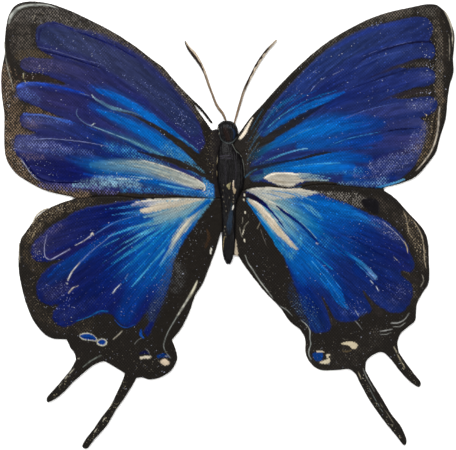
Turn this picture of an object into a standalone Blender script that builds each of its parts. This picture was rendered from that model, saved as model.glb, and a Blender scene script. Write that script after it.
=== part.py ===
"""A butterfly painted in thick acrylic on stiffened canvas and cut out along its outline.

Four canvas leaves are the wings. Their roots slip into rebates on both sides of a moulded body,
and two thin feelers stand in sockets in the head. The whole thing lies flat on its back.
"""

import math

import bmesh
import bpy
from mathutils import Vector

MM = 0.001

# Driving dimensions, in millimetres
LEAF = 1.5  # canvas leaf with its ground coats
CELL_PAINT = 0.4  # how far a painted cell stands above the leaf
THICK_PAINT = 0.75  # the same for the pale strokes by the body
RIDGE_PAINT = 0.6  # the same for thin ridges and dabs of paint
PAINT_SLOPE = 0.35  # how far a stroke's top edge is drawn in
PAINT_LIP = 0.05  # the upright foot of a stroke's side, above the leaf
LEAST_HALF = 0.09  # half the width of a stroke's top where it is narrowest
SUNK = 0.6  # how deep a stroke's solid reaches into the leaf
GAP = 0.3  # clearance between pieces
SEAM = 0.35  # open line between a fore and a hind leaf
TOLERANCE = 0.06  # how far a thinned outline may stray from its curve
OUTLINE_STEP = 1.0  # between the points of a leaf's curve before it is thinned
STROKE_STEP = 6.0  # between the points of a stroke's centre line
START_CAP = [math.pi * turn for turn in (0.75, 1.0, 1.25)]  # the round ends of a stroke
END_CAP = [math.pi * turn for turn in (-0.25, 0.0, 0.25)]
POCKET_REACH = 20.0  # from the middle line to the outside of a pocket's cutter
POCKET_TOP, POCKET_FOOT = 0.6, 1.1  # how far a pocket runs past the leaves' roots

# Points are millimetres on the pattern sheet: x to the right, y down from its top left corner.
# The row's origin lies under the thorax, on the back face.
ORIGIN_X, ORIGIN_Y = 114.5, 95.0


def row(x, y, z=0.0):
    """A place on the pattern sheet, at height z, in metres in the row frame."""
    return Vector(((x - ORIGIN_X) * MM, (ORIGIN_Y - y) * MM, z * MM))


# Leaf roots, which slip under the body's edge on either side, from head to abdomen
LEFT_FORE_ROOT = [
    (109.9, 64.7), (110.7, 68.5), (111.1, 71.2), (110.3, 75.5), (109.7, 82.0), (109.6, 88.0), (110.2, 94.5),
    (110.9, 98.8),
]
LEFT_HIND_ROOT = [(110.9, 99.2), (111.6, 103.5), (111.8, 110.0), (111.7, 115.6)]
RIGHT_FORE_ROOT = [
    (118.3, 66.7), (117.0, 69.8), (116.2, 72.8), (117.8, 75.2), (119.7, 78.2), (121.0, 82.5), (121.3, 89.0),
    (121.0, 94.9),
]
RIGHT_HIND_ROOT = [
    (120.9, 95.3), (118.6, 98.5), (117.1, 103.0), (116.7, 110.0), (116.6, 119.8), (116.5, 124.0),
    (116.3, 127.4),
]

# The line between a fore and a hind leaf, from the outer margin to the root
LEFT_SEAM = [
    (39.5, 99.0), (49.5, 97.8), (60.0, 97.7), (70.0, 98.8), (90.0, 98.5), (101.0, 98.8), (110.9, 98.8),
]
RIGHT_SEAM = [
    (191.0, 94.1), (180.0, 93.5), (169.0, 92.2), (157.0, 92.0), (150.0, 93.4), (144.5, 94.2), (134.0, 93.2),
    (127.0, 93.5), (121.0, 94.9),
]

# Outlines are lists of runs, each smooth in itself, that meet at corners.
LEFT_FORE_EDGE = [
    # root, past the head, to where the loose sliver of rim begins
    [(109.9, 64.7), (107.9, 64.4), (106.3, 65.0), (104.5, 62.8), (100.0, 56.5), (96.6, 51.6)],
    # the sliver's lower side, its blunt tip and its upper side
    [(96.6, 51.6), (99.3, 54.3), (102.5, 58.0), (105.2, 61.5)],
    [(105.2, 61.5), (106.2, 61.8), (106.4, 61.0)],
    [(106.4, 61.0), (103.4, 56.9), (100.2, 53.1), (96.2, 49.4)],
    # front edge
    [(96.2, 49.4), (90.6, 43.8), (86.0, 38.7), (83.4, 35.4), (81.0, 33.0), (76.5, 29.8), (66.5, 22.1),
     (55.0, 14.9), (45.0, 9.8), (35.0, 5.1), (26.0, 1.9), (17.5, 0.5), (11.0, 1.0), (7.0, 3.0), (4.0, 8.0),
     # outer margin
     (2.2, 19.0), (2.1, 27.0), (0.6, 35.0), (0.5, 46.0), (1.9, 57.0), (1.9, 72.0), (3.0, 79.6),
     (7.5, 86.4), (15.0, 91.6), (23.0, 95.5), (32.5, 97.8), (39.5, 99.0)],
]
RIGHT_FORE_EDGE = [
    [(118.3, 66.7), (119.4, 66.6)],
    [(119.4, 66.6), (121.5, 63.6), (125.0, 58.7), (131.0, 52.2), (137.0, 45.4), (145.0, 37.0), (153.0, 29.4),
     (163.0, 21.3), (173.0, 15.1), (184.0, 9.5), (194.0, 6.0), (204.0, 3.7), (214.5, 1.8), (218.5, 2.3),
     (222.5, 5.6), (225.5, 10.8), (227.4, 17.0), (227.3, 23.0), (226.7, 29.5), (227.0, 36.0), (225.2, 41.8),
     (224.2, 48.0), (223.0, 59.5), (220.2, 68.5), (218.2, 76.0), (213.5, 82.6), (208.0, 88.4), (200.0, 91.9),
     (191.0, 94.1)],
]
LEFT_HIND_EDGE = [
    # outer margin
    [(39.5, 99.35), (35.0, 99.9), (28.6, 102.0), (21.8, 105.5), (17.4, 109.4), (13.5, 114.8), (10.4, 119.3),
     (9.2, 125.5), (9.2, 135.5), (10.6, 143.3), (12.9, 152.0), (16.3, 160.0), (20.5, 165.7), (25.5, 169.2),
     (33.2, 169.9)],
    [(33.2, 169.9), (35.0, 173.8), (37.2, 177.0), (37.8, 180.0)],
    # outer tail
    [(37.8, 180.0), (35.4, 184.5), (31.0, 189.9), (26.0, 195.7), (23.1, 199.3), (23.6, 201.3), (27.0, 200.0),
     (31.9, 196.2), (36.4, 191.3), (41.3, 187.0), (47.0, 182.6), (51.7, 180.9), (55.3, 182.5), (62.3, 186.8)],
    # inner tail
    [(62.3, 186.8), (61.0, 190.5), (58.7, 195.5), (55.0, 203.0), (50.7, 208.6), (46.7, 214.5), (42.1, 220.5),
     (40.9, 223.6), (43.1, 224.6), (47.3, 219.8), (53.4, 212.9), (57.9, 205.2), (61.9, 199.7), (66.3, 192.7),
     (68.2, 189.2)],
    # inner lobe
    [(68.2, 189.2), (70.8, 188.9), (75.0, 190.0), (80.6, 188.7), (85.5, 185.5), (88.7, 179.6), (87.8, 174.5),
     (86.0, 170.0)],
    # inner margin up to the abdomen
    [(86.0, 170.0), (90.5, 164.6), (95.0, 155.6), (97.5, 148.2), (101.4, 142.0), (104.7, 133.7),
     (108.1, 124.5), (110.4, 116.4)],
    [(110.4, 116.4), (111.7, 115.6)],
]
RIGHT_HIND_EDGE = [
    # outer margin
    [(191.0, 94.45), (197.3, 98.6), (204.3, 106.2), (212.1, 115.1), (214.2, 121.0), (214.6, 129.0),
     (214.5, 141.5), (211.8, 146.0), (208.6, 152.2), (207.7, 160.4), (204.5, 163.3), (200.5, 166.9),
     (198.9, 171.5), (199.6, 176.2)],
    # outer tail
    [(199.6, 176.2), (202.7, 180.8), (207.1, 186.7), (210.7, 191.7), (209.6, 193.7), (206.1, 191.8),
     (200.5, 186.3), (194.7, 178.9), (191.3, 176.3), (187.5, 177.1), (183.4, 180.5), (182.9, 185.2)],
    # inner tail
    [(182.9, 185.2), (185.5, 190.0), (190.5, 198.0), (196.0, 207.3), (200.8, 213.4), (203.5, 221.0),
     (202.4, 223.0), (198.2, 218.2), (191.7, 210.2), (184.6, 200.0), (180.7, 193.0), (178.0, 187.4)],
    # inner lobe
    [(178.0, 187.4), (175.0, 184.9), (167.5, 185.3), (160.0, 185.1), (155.6, 182.1), (152.8, 177.0),
     (152.5, 169.5), (150.0, 164.8)],
    # inner margin, down to which a wedge of bare canvas follows the abdomen
    [(150.0, 164.8), (145.0, 160.9), (140.0, 153.9), (133.0, 146.7), (126.4, 138.6), (121.0, 131.2),
     (119.3, 128.3)],
    [(119.3, 128.3), (116.3, 127.4)],
]

# Painted strokes: the points of a centre line, from the margin to the body, each with its width there
LEFT_FORE_CELLS = [
    [(24.5, 18.4, 13.5), (45.0, 24.5, 13), (60.0, 31.2, 12), (75.0, 41.2, 11), (90.0, 54.5, 9),
     (101.0, 69.0, 4)],
    [(14.5, 32.6, 6.5), (30.0, 33.7, 10.5), (45.0, 39.4, 10.5), (60.0, 47.4, 8.5), (80.0, 60.0, 5.5),
     (100.5, 74.5, 3)],
    [(13.0, 46.3, 10), (25.0, 49.5, 12.5), (37.5, 52.0, 12), (60.0, 59.0, 8.5), (90.0, 76.0, 6),
     (101.5, 83.5, 4)],
    [(13.5, 60.8, 6.5), (25.0, 62.6, 8), (37.5, 65.4, 8), (50.0, 69.4, 7), (63.0, 73.8, 3)],
    [(12.0, 71.6, 8), (22.5, 73.0, 9), (35.0, 75.0, 9.5), (47.5, 77.4, 9.5), (58.0, 80.0, 6)],
    [(17.0, 83.0, 7), (27.5, 86.2, 8), (40.0, 89.0, 8), (52.5, 91.7, 7), (66.0, 94.2, 4)],
]
LEFT_FORE_PALE = [[(60.0, 85.0, 6), (72.0, 84.0, 9), (85.0, 86.5, 9), (97.0, 91.4, 6.5)]]
LEFT_FORE_RIDGES = [[(49.0, 50.5, 1.6), (57.0, 54.3, 1.2), (68.0, 57.8, 0.8)]]

RIGHT_FORE_CELLS = [
    [(210.5, 14.3, 10.5), (197.5, 17.0, 12), (182.5, 21.7, 13), (167.5, 29.0, 13), (152.5, 40.0, 12),
     (140.0, 52.0, 9), (129.0, 66.0, 4)],
    [(213.5, 26.2, 5.5), (200.0, 28.4, 8.5), (185.0, 33.2, 9.5), (170.0, 42.5, 9), (155.0, 51.5, 7),
     (142.5, 58.5, 4.5), (131.5, 66.8, 3)],
    [(214.0, 39.2, 8), (202.5, 41.5, 8.5), (190.0, 45.4, 8), (173.0, 50.6, 4)],
    [(215.5, 53.5, 5.5), (202.5, 56.5, 8.5), (190.0, 59.0, 8.5), (175.0, 62.0, 9.5), (160.0, 65.7, 9.5),
     (147.5, 71.5, 6.5), (135.0, 78.5, 3.5)],
    [(212.0, 66.5, 7), (200.0, 70.0, 9.5), (187.5, 72.3, 9.5), (175.0, 74.0, 4)],
    [(202.0, 83.2, 7.5), (190.0, 85.0, 11), (175.0, 84.6, 11), (160.0, 83.6, 8), (146.0, 82.8, 4)],
]
RIGHT_FORE_PALE = [[(134.6, 89.2, 3.5), (142.0, 90.0, 6), (149.0, 89.6, 6), (166.0, 89.2, 2)]]
RIGHT_FORE_RIDGES = [[(191.0, 67.0, 0.8), (180.0, 68.4, 1.2), (170.0, 70.2, 0.8)]]

LEFT_HIND_CELLS = [
    [(27.5, 121.0, 11), (40.0, 114.0, 13), (55.0, 108.0, 10), (75.0, 103.4, 7), (96.0, 101.6, 3)],
    [(25.0, 143.5, 12), (37.5, 135.0, 13), (52.5, 125.0, 11), (70.0, 114.0, 8), (88.0, 106.0, 5)],
    [(35.0, 156.0, 12), (45.0, 147.5, 12), (57.5, 136.0, 11), (72.5, 122.5, 9), (88.0, 110.5, 5)],
    [(62.5, 155.5, 13), (69.0, 145.0, 12), (76.0, 132.5, 10), (85.0, 120.0, 8), (96.0, 108.0, 4)],
]
LEFT_HIND_PALE = [
    [(80.0, 137.5, 4), (86.0, 126.0, 6), (92.5, 116.0, 7), (101.0, 105.0, 4)],
    [(69.5, 103.0, 4.5), (82.0, 102.6, 5.5), (97.0, 102.2, 4)],
]
LEFT_HIND_RIDGES = [
    [(98.5, 141.0, 1.5), (91.5, 153.0, 1.5), (85.5, 163.5, 1.2), (81.8, 171.5, 1.0), (84.5, 178.0, 0.8)],
    [(41.8, 168.7, 4.5), (46.6, 167.7, 4.5)],
    [(49.6, 171.2, 2.6), (52.6, 170.8, 2.6)],
    [(71.2, 178.9, 2.0), (75.0, 178.6, 2.0)],
    [(82.0, 180.9, 3.4), (83.8, 180.9, 3.4)],
    [(41.0, 183.2, 1.2), (48.0, 178.2, 1.0)],
]

RIGHT_HIND_CELLS = [
    [(198.0, 119.5, 10), (185.0, 112.5, 11), (170.0, 106.5, 9), (157.0, 102.5, 4)],
    [(200.5, 132.5, 10), (187.5, 126.0, 10.5), (172.5, 119.0, 9.5), (157.5, 111.5, 7.5), (147.0, 106.5, 3)],
    [(199.5, 147.0, 11), (187.5, 140.0, 12), (172.5, 131.0, 11), (157.5, 121.0, 8), (146.0, 112.5, 3.5)],
    [(175.0, 152.5, 12), (167.5, 142.5, 11), (157.5, 131.0, 10), (147.0, 119.5, 7), (138.0, 110.5, 3.5)],
    [(160.0, 159.5, 8.5), (155.5, 149.5, 8.5), (149.5, 138.0, 7.5), (141.5, 126.0, 6), (133.5, 115.0, 3)],
]
RIGHT_HIND_PALE = [
    [(128.0, 96.2, 3), (140.0, 98.6, 7.5), (151.5, 97.2, 3)],
    [(125.6, 101.2, 2.5), (131.0, 106.3, 4), (137.5, 113.0, 4.5), (145.0, 121.0, 3)],
]
RIGHT_HIND_RIDGES = [
    [(122.6, 127.2, 0.9), (130.0, 140.0, 1.2), (138.5, 151.0, 1.2), (146.5, 157.2, 1.1)],
    [(151.5, 160.5, 0.9), (155.0, 168.0, 1.2), (155.2, 179.5, 1.0)],
    [(158.2, 178.4, 4.4), (160.6, 178.2, 4.4)],
    [(171.8, 173.1, 2.6), (177.6, 172.6, 3.2)],
]

# The body: down the sheet from the head to the tip of the abdomen, each row holds the place of a cross
# section, its left and right edges, the height of its upright sides and its full height.
BODY_SECTIONS = [
    (60.4, 111.6, 115.4, 1.3, 2.0),
    (61.2, 110.3, 116.7, 1.6, 2.7),
    (62.4, 109.0, 118.0, 2.0, 3.6),
    (64.5, 108.6, 118.9, 2.1, 4.2),
    (67.0, 109.2, 119.1, 2.1, 4.2),
    (69.5, 110.0, 118.3, 2.1, 3.7),
    (71.6, 110.4, 116.9, 2.1, 3.0),
    (73.4, 109.6, 117.2, 2.1, 3.6),
    (76.0, 108.9, 119.3, 2.1, 4.5),
    (80.0, 108.4, 121.6, 2.1, 5.0),
    (87.0, 108.3, 122.3, 2.1, 5.0),
    (93.5, 109.0, 121.7, 2.1, 4.7),
    (98.0, 110.0, 119.6, 2.1, 4.1),
    (102.5, 110.6, 118.1, 2.1, 3.9),
    (110.0, 110.9, 117.8, 2.1, 4.0),
    (118.0, 110.9, 117.7, 2.1, 3.9),
    (125.0, 111.1, 117.3, 1.9, 3.4),
    (129.6, 112.0, 116.3, 1.5, 2.5),
    (132.1, 113.3, 115.1, 0.7, 1.1),
]
SECTION_ARC = 12  # flats over the top of a cross section
SECTION_STEP = 2.2  # between cross sections
SOCKET_POINTS = 3  # of a feeler's line, from its inner end, that its socket follows

# Feelers: points of a centre line from the head outwards, each with the feeler's width there
LEFT_FEELER = [
    (113.9, 62.7, 0.9), (113.0, 60.4, 0.9), (111.1, 56.3, 1.5), (109.2, 54.0, 1.4), (107.8, 51.5, 1.3),
    (106.3, 47.5, 1.1), (104.4, 42.5, 1.3), (102.0, 35.5, 1.5), (99.5, 30.8, 2.1), (96.6, 26.6, 2.6),
    (94.3, 24.0, 1.8), (92.5, 20.5, 0.8),
]
RIGHT_FEELER = [
    (116.7, 63.3, 0.9), (117.3, 61.0, 0.9), (118.4, 57.2, 1.2), (120.2, 51.0, 1.3), (122.1, 45.0, 1.4),
    (125.4, 38.2, 1.5), (129.2, 31.2, 1.7), (133.7, 24.8, 1.4), (136.4, 22.0, 1.2), (138.4, 19.8, 0.8),
]
FEELER_HEIGHT = 1.0  # of the centre line above the back face
FEELER_THICKNESS = 1.1  # at most, from front to back
FEELER_SIDES = 8
FEELER_STEP = 2.6


def clear_scene():
    """An empty scene to build in."""
    for each in list(bpy.data.objects):
        bpy.data.objects.remove(each)


def mixed(start, end, low, high, t):
    """The tuple that lies between two others as t lies between low and high."""
    share = (t - low) / (high - low)
    return tuple(a + (b - a) * share for a, b in zip(start, end))


def smooth(points, step):
    """Points about a step apart on a smooth curve through the given ones, whatever else each holds."""
    if len(points) < 3:
        return [tuple(p) for p in points]
    first = tuple(2 * a - b for a, b in zip(points[0], points[1]))
    last = tuple(2 * a - b for a, b in zip(points[-1], points[-2]))
    padded = [first, *points, last]
    made = [tuple(points[0])]
    for four in zip(padded, padded[1:], padded[2:], padded[3:]):
        knots = [0.0]
        for near, far in zip(four, four[1:]):
            knots.append(knots[-1] + math.dist(near[:2], far[:2]) ** 0.5)
        pieces = max(1, round(math.dist(four[1][:2], four[2][:2]) / step))
        for piece in range(1, pieces + 1):
            t = knots[1] + (knots[2] - knots[1]) * piece / pieces
            lines = [mixed(four[i], four[i + 1], knots[i], knots[i + 1], t) for i in range(3)]
            bends = [mixed(lines[i], lines[i + 1], knots[i], knots[i + 2], t) for i in range(2)]
            made.append(mixed(bends[0], bends[1], knots[1], knots[2], t))
    return made


def thinned(points):
    """The points that an open line needs to stay within TOLERANCE of its full course."""
    if len(points) < 3:
        return points
    (ax, ay), (bx, by) = points[0][:2], points[-1][:2]
    length = math.hypot(bx - ax, by - ay)

    def stray(p):
        if length < TOLERANCE:
            return math.hypot(p[0] - ax, p[1] - ay)
        return abs((p[0] - ax) * (by - ay) - (p[1] - ay) * (bx - ax)) / length

    worst = max(range(1, len(points) - 1), key=lambda i: stray(points[i]))
    if stray(points[worst]) < TOLERANCE:
        return [points[0], points[-1]]
    return thinned(points[: worst + 1])[:-1] + thinned(points[worst:])


def closed_outline(runs):
    """One closed outline from runs that meet at corners."""
    made = []
    for run in runs:
        made += thinned(smooth(run, OUTLINE_STEP))[:-1]
    return made


def ring(outline, z):
    """An outline as places in the row frame, counter-clockwise seen from the front."""
    area = sum(a[0] * b[1] - b[0] * a[1] for a, b in zip(outline, outline[1:] + outline[:1]))
    turned = outline if area < 0 else outline[::-1]
    return [row(p[0], p[1], z) for p in turned]


def solid(name, rings):
    """An object whose skin runs through closed rings of equal length and is filled at both ends."""
    mesh = bpy.data.meshes.new(name)
    build = bmesh.new()
    loops = [[build.verts.new(p) for p in each] for each in rings]
    for low, high in zip(loops, loops[1:]):
        for i in range(len(low)):
            j = (i + 1) % len(low)
            build.faces.new((low[i], low[j], high[j], high[i]))
    build.faces.new(loops[0][::-1])
    build.faces.new(loops[-1])
    bmesh.ops.recalc_face_normals(build, faces=build.faces[:])
    build.to_mesh(mesh)
    build.free()
    made = bpy.data.objects.new(name, mesh)
    bpy.context.scene.collection.objects.link(made)
    return made


def prism(name, outline, low, high):
    """A plate with upright sides."""
    return solid(name, [ring(outline, low), ring(outline, high)])


def shaped_by(target, operation, cutter):
    """Joins or cuts the target with another object, which is then only a guide."""
    cutter.hide_render = True
    cutter.display_type = "WIRE"
    change = target.modifiers.new(cutter.name, "BOOLEAN")
    change.operation = operation
    change.object = cutter
    change.solver = "EXACT"


def around(x, y, radius, angle, turns):
    """Points round a centre, at the given turns from an angle."""
    return [(x + radius * math.cos(angle + turn), y + radius * math.sin(angle + turn)) for turn in turns]


def stroke_rim(line, drawn_in):
    """The rim of a painted stroke with round ends. Its line holds x, y and width."""
    sides = ([], [])
    for i, (x, y, width) in enumerate(line):
        (ax, ay), (bx, by) = line[max(i - 1, 0)][:2], line[min(i + 1, len(line) - 1)][:2]
        angle = math.atan2(by - ay, bx - ax)
        half = max(width / 2 - drawn_in, LEAST_HALF)
        for side, turn in zip(sides, (-math.pi / 2, math.pi / 2)):
            side += around(x, y, half, angle, [turn])
        if i == 0:
            start = around(x, y, half, angle, START_CAP)
        if i == len(line) - 1:
            end = around(x, y, half, angle, END_CAP)
    return sides[0] + end + sides[1][::-1] + start


def stroke(name, points, height):
    """The solid of one stroke: sunk in the leaf, with its top edge drawn in."""
    line = smooth(points, STROKE_STEP)
    rims = [stroke_rim(line, drawn) for drawn in (0.0, 0.0, PAINT_SLOPE)]
    levels = (LEAF - SUNK, LEAF + PAINT_LIP, LEAF + height)
    return solid(name, [ring(rim, z) for rim, z in zip(rims, levels)])


def wing(name, runs, cells, pale, ridges, material):
    """A canvas leaf with its raised strokes of paint."""
    leaf = prism(name, closed_outline(runs), 0.0, LEAF)
    kinds = (("cell", cells, CELL_PAINT), ("pale", pale, THICK_PAINT), ("ridge", ridges, RIDGE_PAINT))
    for kind, strokes, height in kinds:
        for number, points in enumerate(strokes, 1):
            shaped_by(leaf, "UNION", stroke(f"{name}_{kind}_{number}", points, height))
    leaf.data.materials.append(material)
    return leaf


def body_section(y, left, right, upright, top):
    """A cross section of the body: flat back, upright sides and an arched front."""
    middle, half = (left + right) / 2, (right - left) / 2
    arc = []
    for step in range(SECTION_ARC + 1):
        angle = math.pi * step / SECTION_ARC
        arc.append(row(middle - half * math.cos(angle), y, upright + (top - upright) * math.sin(angle)))
    return [row(left, y), *arc, row(right, y)]


def pocket(name, root, outside, shift):
    """The room for two leaves' roots under one edge of the body."""
    inner = [(x + shift, y) for x, y in root]
    top, foot = root[0][1] - POCKET_TOP, root[-1][1] + POCKET_FOOT
    rim = [(outside, top), (inner[0][0], top), *inner, (inner[-1][0], foot), (outside, foot)]
    return prism(name, rim, -GAP, LEAF + GAP)


def feeler(name, points, grown=0.0):
    """A thin tapered feeler. Grown, it is the cutter for its own socket."""
    line = smooth(points, FEELER_STEP)
    rings = []
    for i, (x, y, width) in enumerate(line):
        (ax, ay), (bx, by) = line[max(i - 1, 0)][:2], line[min(i + 1, len(line) - 1)][:2]
        angle = math.atan2(by - ay, bx - ax)
        if i == 0:
            x, y = x - grown * math.cos(angle), y - grown * math.sin(angle)
        wide, high = width / 2 + grown, min(width, FEELER_THICKNESS) / 2 + grown
        made = []
        for side in range(FEELER_SIDES):
            turn = 2 * math.pi * side / FEELER_SIDES
            out = wide * math.cos(turn)
            z = FEELER_HEIGHT + high * math.sin(turn)
            made.append(row(x - out * math.sin(angle), y + out * math.cos(angle), z))
        rings.append(made)
    return solid(name, rings)


def body(material):
    """Head, thorax and abdomen in one piece, with rebates for the leaves and sockets for the feelers."""
    sections = smooth(BODY_SECTIONS, SECTION_STEP)
    made = solid("body", [body_section(*section) for section in sections])
    for name, root, side in (
        ("left_pocket", LEFT_FORE_ROOT + LEFT_HIND_ROOT, -1),
        ("right_pocket", RIGHT_FORE_ROOT + RIGHT_HIND_ROOT, 1),
    ):
        shaped_by(made, "DIFFERENCE", pocket(name, root, ORIGIN_X + side * POCKET_REACH, -side * GAP))
    for name, points in (("left_socket", LEFT_FEELER), ("right_socket", RIGHT_FEELER)):
        shaped_by(made, "DIFFERENCE", feeler(name, points[:SOCKET_POINTS], GAP))
    made.data.materials.append(material)
    return made


def paint(name, colour, roughness):
    """A plain acrylic paint."""
    made = bpy.data.materials.new(name)
    made.use_nodes = True
    shader = made.node_tree.nodes["Principled BSDF"]
    shader.inputs["Base Color"].default_value = (*colour, 1.0)
    shader.inputs["Roughness"].default_value = roughness
    shader.inputs["Metallic"].default_value = 0.0
    return made


def hind_seam(seam):
    """The hind leaf's side of a seam, from the root out."""
    return [(x, y + SEAM) for x, y in seam][::-1]


def butterfly():
    """The whole butterfly, its pieces held by one empty at the row's origin."""
    fore_blue = paint("fore_wing_paint", (0.015, 0.05, 0.27), 0.45)
    hind_blue = paint("hind_wing_paint", (0.01, 0.11, 0.42), 0.45)
    black = paint("body_paint", (0.012, 0.011, 0.012), 0.4)
    brown = paint("feeler_paint", (0.10, 0.08, 0.065), 0.55)
    pieces = [
        wing(
            "left_forewing", [*LEFT_FORE_EDGE, LEFT_SEAM, LEFT_FORE_ROOT[::-1]],
            LEFT_FORE_CELLS, LEFT_FORE_PALE, LEFT_FORE_RIDGES, fore_blue,
        ),
        wing(
            "right_forewing", [*RIGHT_FORE_EDGE, RIGHT_SEAM, RIGHT_FORE_ROOT[::-1]],
            RIGHT_FORE_CELLS, RIGHT_FORE_PALE, RIGHT_FORE_RIDGES, fore_blue,
        ),
        wing(
            "left_hindwing", [*LEFT_HIND_EDGE, LEFT_HIND_ROOT[::-1], hind_seam(LEFT_SEAM)],
            LEFT_HIND_CELLS, LEFT_HIND_PALE, LEFT_HIND_RIDGES, hind_blue,
        ),
        wing(
            "right_hindwing", [*RIGHT_HIND_EDGE, RIGHT_HIND_ROOT[::-1], hind_seam(RIGHT_SEAM)],
            RIGHT_HIND_CELLS, RIGHT_HIND_PALE, RIGHT_HIND_RIDGES, hind_blue,
        ),
        body(black),
    ]
    for name, points in (("left_antenna", LEFT_FEELER), ("right_antenna", RIGHT_FEELER)):
        made = feeler(name, points)
        made.data.materials.append(brown)
        pieces.append(made)
    holder = bpy.data.objects.new("butterfly", None)
    bpy.context.scene.collection.objects.link(holder)
    for piece in pieces:
        piece.parent = holder


clear_scene()
butterfly()
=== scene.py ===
"""The looks of a butterfly painted on stiff canvas and cut out: leaves, raised paint, body and feelers."""

import math

import bmesh
import bpy
import numpy as np
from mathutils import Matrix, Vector
from mathutils.geometry import delaunay_2d_cdt


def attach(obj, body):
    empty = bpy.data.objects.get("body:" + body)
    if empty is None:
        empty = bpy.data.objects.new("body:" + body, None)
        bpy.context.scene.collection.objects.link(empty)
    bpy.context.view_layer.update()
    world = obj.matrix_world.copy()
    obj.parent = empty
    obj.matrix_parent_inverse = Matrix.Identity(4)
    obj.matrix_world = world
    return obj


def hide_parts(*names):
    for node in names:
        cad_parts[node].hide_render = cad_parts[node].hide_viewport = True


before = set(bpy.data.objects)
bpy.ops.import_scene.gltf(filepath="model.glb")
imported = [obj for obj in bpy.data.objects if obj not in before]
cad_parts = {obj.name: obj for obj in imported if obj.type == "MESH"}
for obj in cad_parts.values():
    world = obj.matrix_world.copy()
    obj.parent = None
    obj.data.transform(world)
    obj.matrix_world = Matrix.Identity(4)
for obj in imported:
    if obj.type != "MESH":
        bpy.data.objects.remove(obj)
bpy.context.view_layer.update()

# The pattern sheet is in millimetres: x to the right, y down. One pixel of the photograph is half a
# millimetre, and every place in a wing's pattern is one on the sheet.
MM = 0.001
ORIGIN_X, ORIGIN_Y = 114.5, 95.0  # the row's origin on the sheet
LEAF = 1.5  # canvas leaf with its ground coats

# Canvas
WARP, WEFT = 0.72, 0.84  # mm between the threads that run up the sheet and those that run across
CREST_HIGHLIGHT_TONE, GAP_SHADE_TONE = 1.35, 0.6  # painted highlight on the raised threads and painted shade in the gaps: the same paint lighter on the threads, darker between them
CALM = (0.45, 0.95)  # how much of that goes where the brush left less and more paint

# Paints are given as they look dry: red, green and blue from 0 to 255
BLACK = (38, 35, 32)
LIGHT = 1.7  # how bright the lamps make a white card
SHEEN = 0.0048  # light that the gloss adds
DARKEST = 0.0004

# Brushes
LINE_STEP = 1.5  # mm between the places that a brushed line is worked out at
SOAK = 0.2  # how gradually the bristles' marks turn from bare to covered
SPAN = 1.15  # bristle marks from fully wet to fully dry
WASH_WET, STROKE_WET, FAN_WET = 0.6, 0.9, 0.7  # how far each fills the weave
THIN_BRUSH = {"streak": 0.1, "weave": 0.15, "hair": 0.8, "ragged": 0.1}
FAN_HAIR, FAN_FADE = 1.1, 0.3
BRUSHED_TONE, BRUSHED_RELIEF = 0.3, 0.06
GRAIN_TABLE = 128


def linear(paint):
    """The share of each colour that a paint gives back, so that it looks as named under the lamps."""
    share = np.array(paint, float) / 255
    light = np.where(share <= 0.04045, share / 12.92, ((share + 0.055) / 1.055) ** 2.4)
    return np.maximum(light - SHEEN, DARKEST) / LIGHT


def eased(low, high, value):
    """0 below low, 1 above high and smooth between them. Low may be the greater."""
    share = np.clip((value - low) / (high - low), 0.0, 1.0)
    return share * share * (3 - 2 * share)


def grain(u, v, seed):
    """Smooth random values from 0 to 1, about one unit apart each way."""
    size = GRAIN_TABLE
    table = np.random.default_rng(seed).random((size, size))
    left, low = np.floor(u).astype(int), np.floor(v).astype(int)
    across, up = eased(0, 1, u - left), eased(0, 1, v - low)
    corner = [table[(left + i) % size, (low + j) % size] for i in (0, 1) for j in (0, 1)]
    near = corner[0] + (corner[1] - corner[0]) * up
    far = corner[2] + (corner[3] - corner[2]) * up
    return near + (far - near) * across


def mixed(start, end, low, high, t):
    """The array that lies between two others as t lies between low and high."""
    return start + (end - start) * ((t - low) / (high - low))


def smooth(points, step, closed=False):
    """Points about a step apart on a smooth curve through the given ones, whatever else each holds."""
    points = [np.array(p, float) for p in points]
    if closed:
        padded = [points[-1], *points, points[0], points[1]]
    else:
        padded = [2 * points[0] - points[1], *points, 2 * points[-1] - points[-2]]
    made = []
    for four in zip(padded, padded[1:], padded[2:], padded[3:]):
        gaps = [max(math.dist(a[:2], b[:2]), 1e-6) ** 0.5 for a, b in zip(four, four[1:])]
        knots = np.concatenate([[0.0], np.cumsum(gaps)])
        pieces = max(1, round(math.dist(four[1][:2], four[2][:2]) / step))
        for piece in range(pieces):
            t = knots[1] + (knots[2] - knots[1]) * piece / pieces
            lines = [mixed(four[i], four[i + 1], knots[i], knots[i + 1], t) for i in range(3)]
            bends = [mixed(lines[i], lines[i + 1], knots[i], knots[i + 2], t) for i in range(2)]
            made.append(mixed(bends[0], bends[1], knots[1], knots[2], t))
    if not closed:
        made.append(points[-1])
    return np.array(made)


def enclosed(x, y, outline):
    """Which places lie inside a closed outline."""
    inside = np.zeros(len(x), bool)
    for (ax, ay), (bx, by) in zip(outline, np.roll(outline, -1, axis=0)):
        if ay == by:
            continue
        crosses = (ay > y) != (by > y)
        inside ^= crosses & (x < (bx - ax) * (y - ay) / (by - ay) + ax)
    return inside


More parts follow.
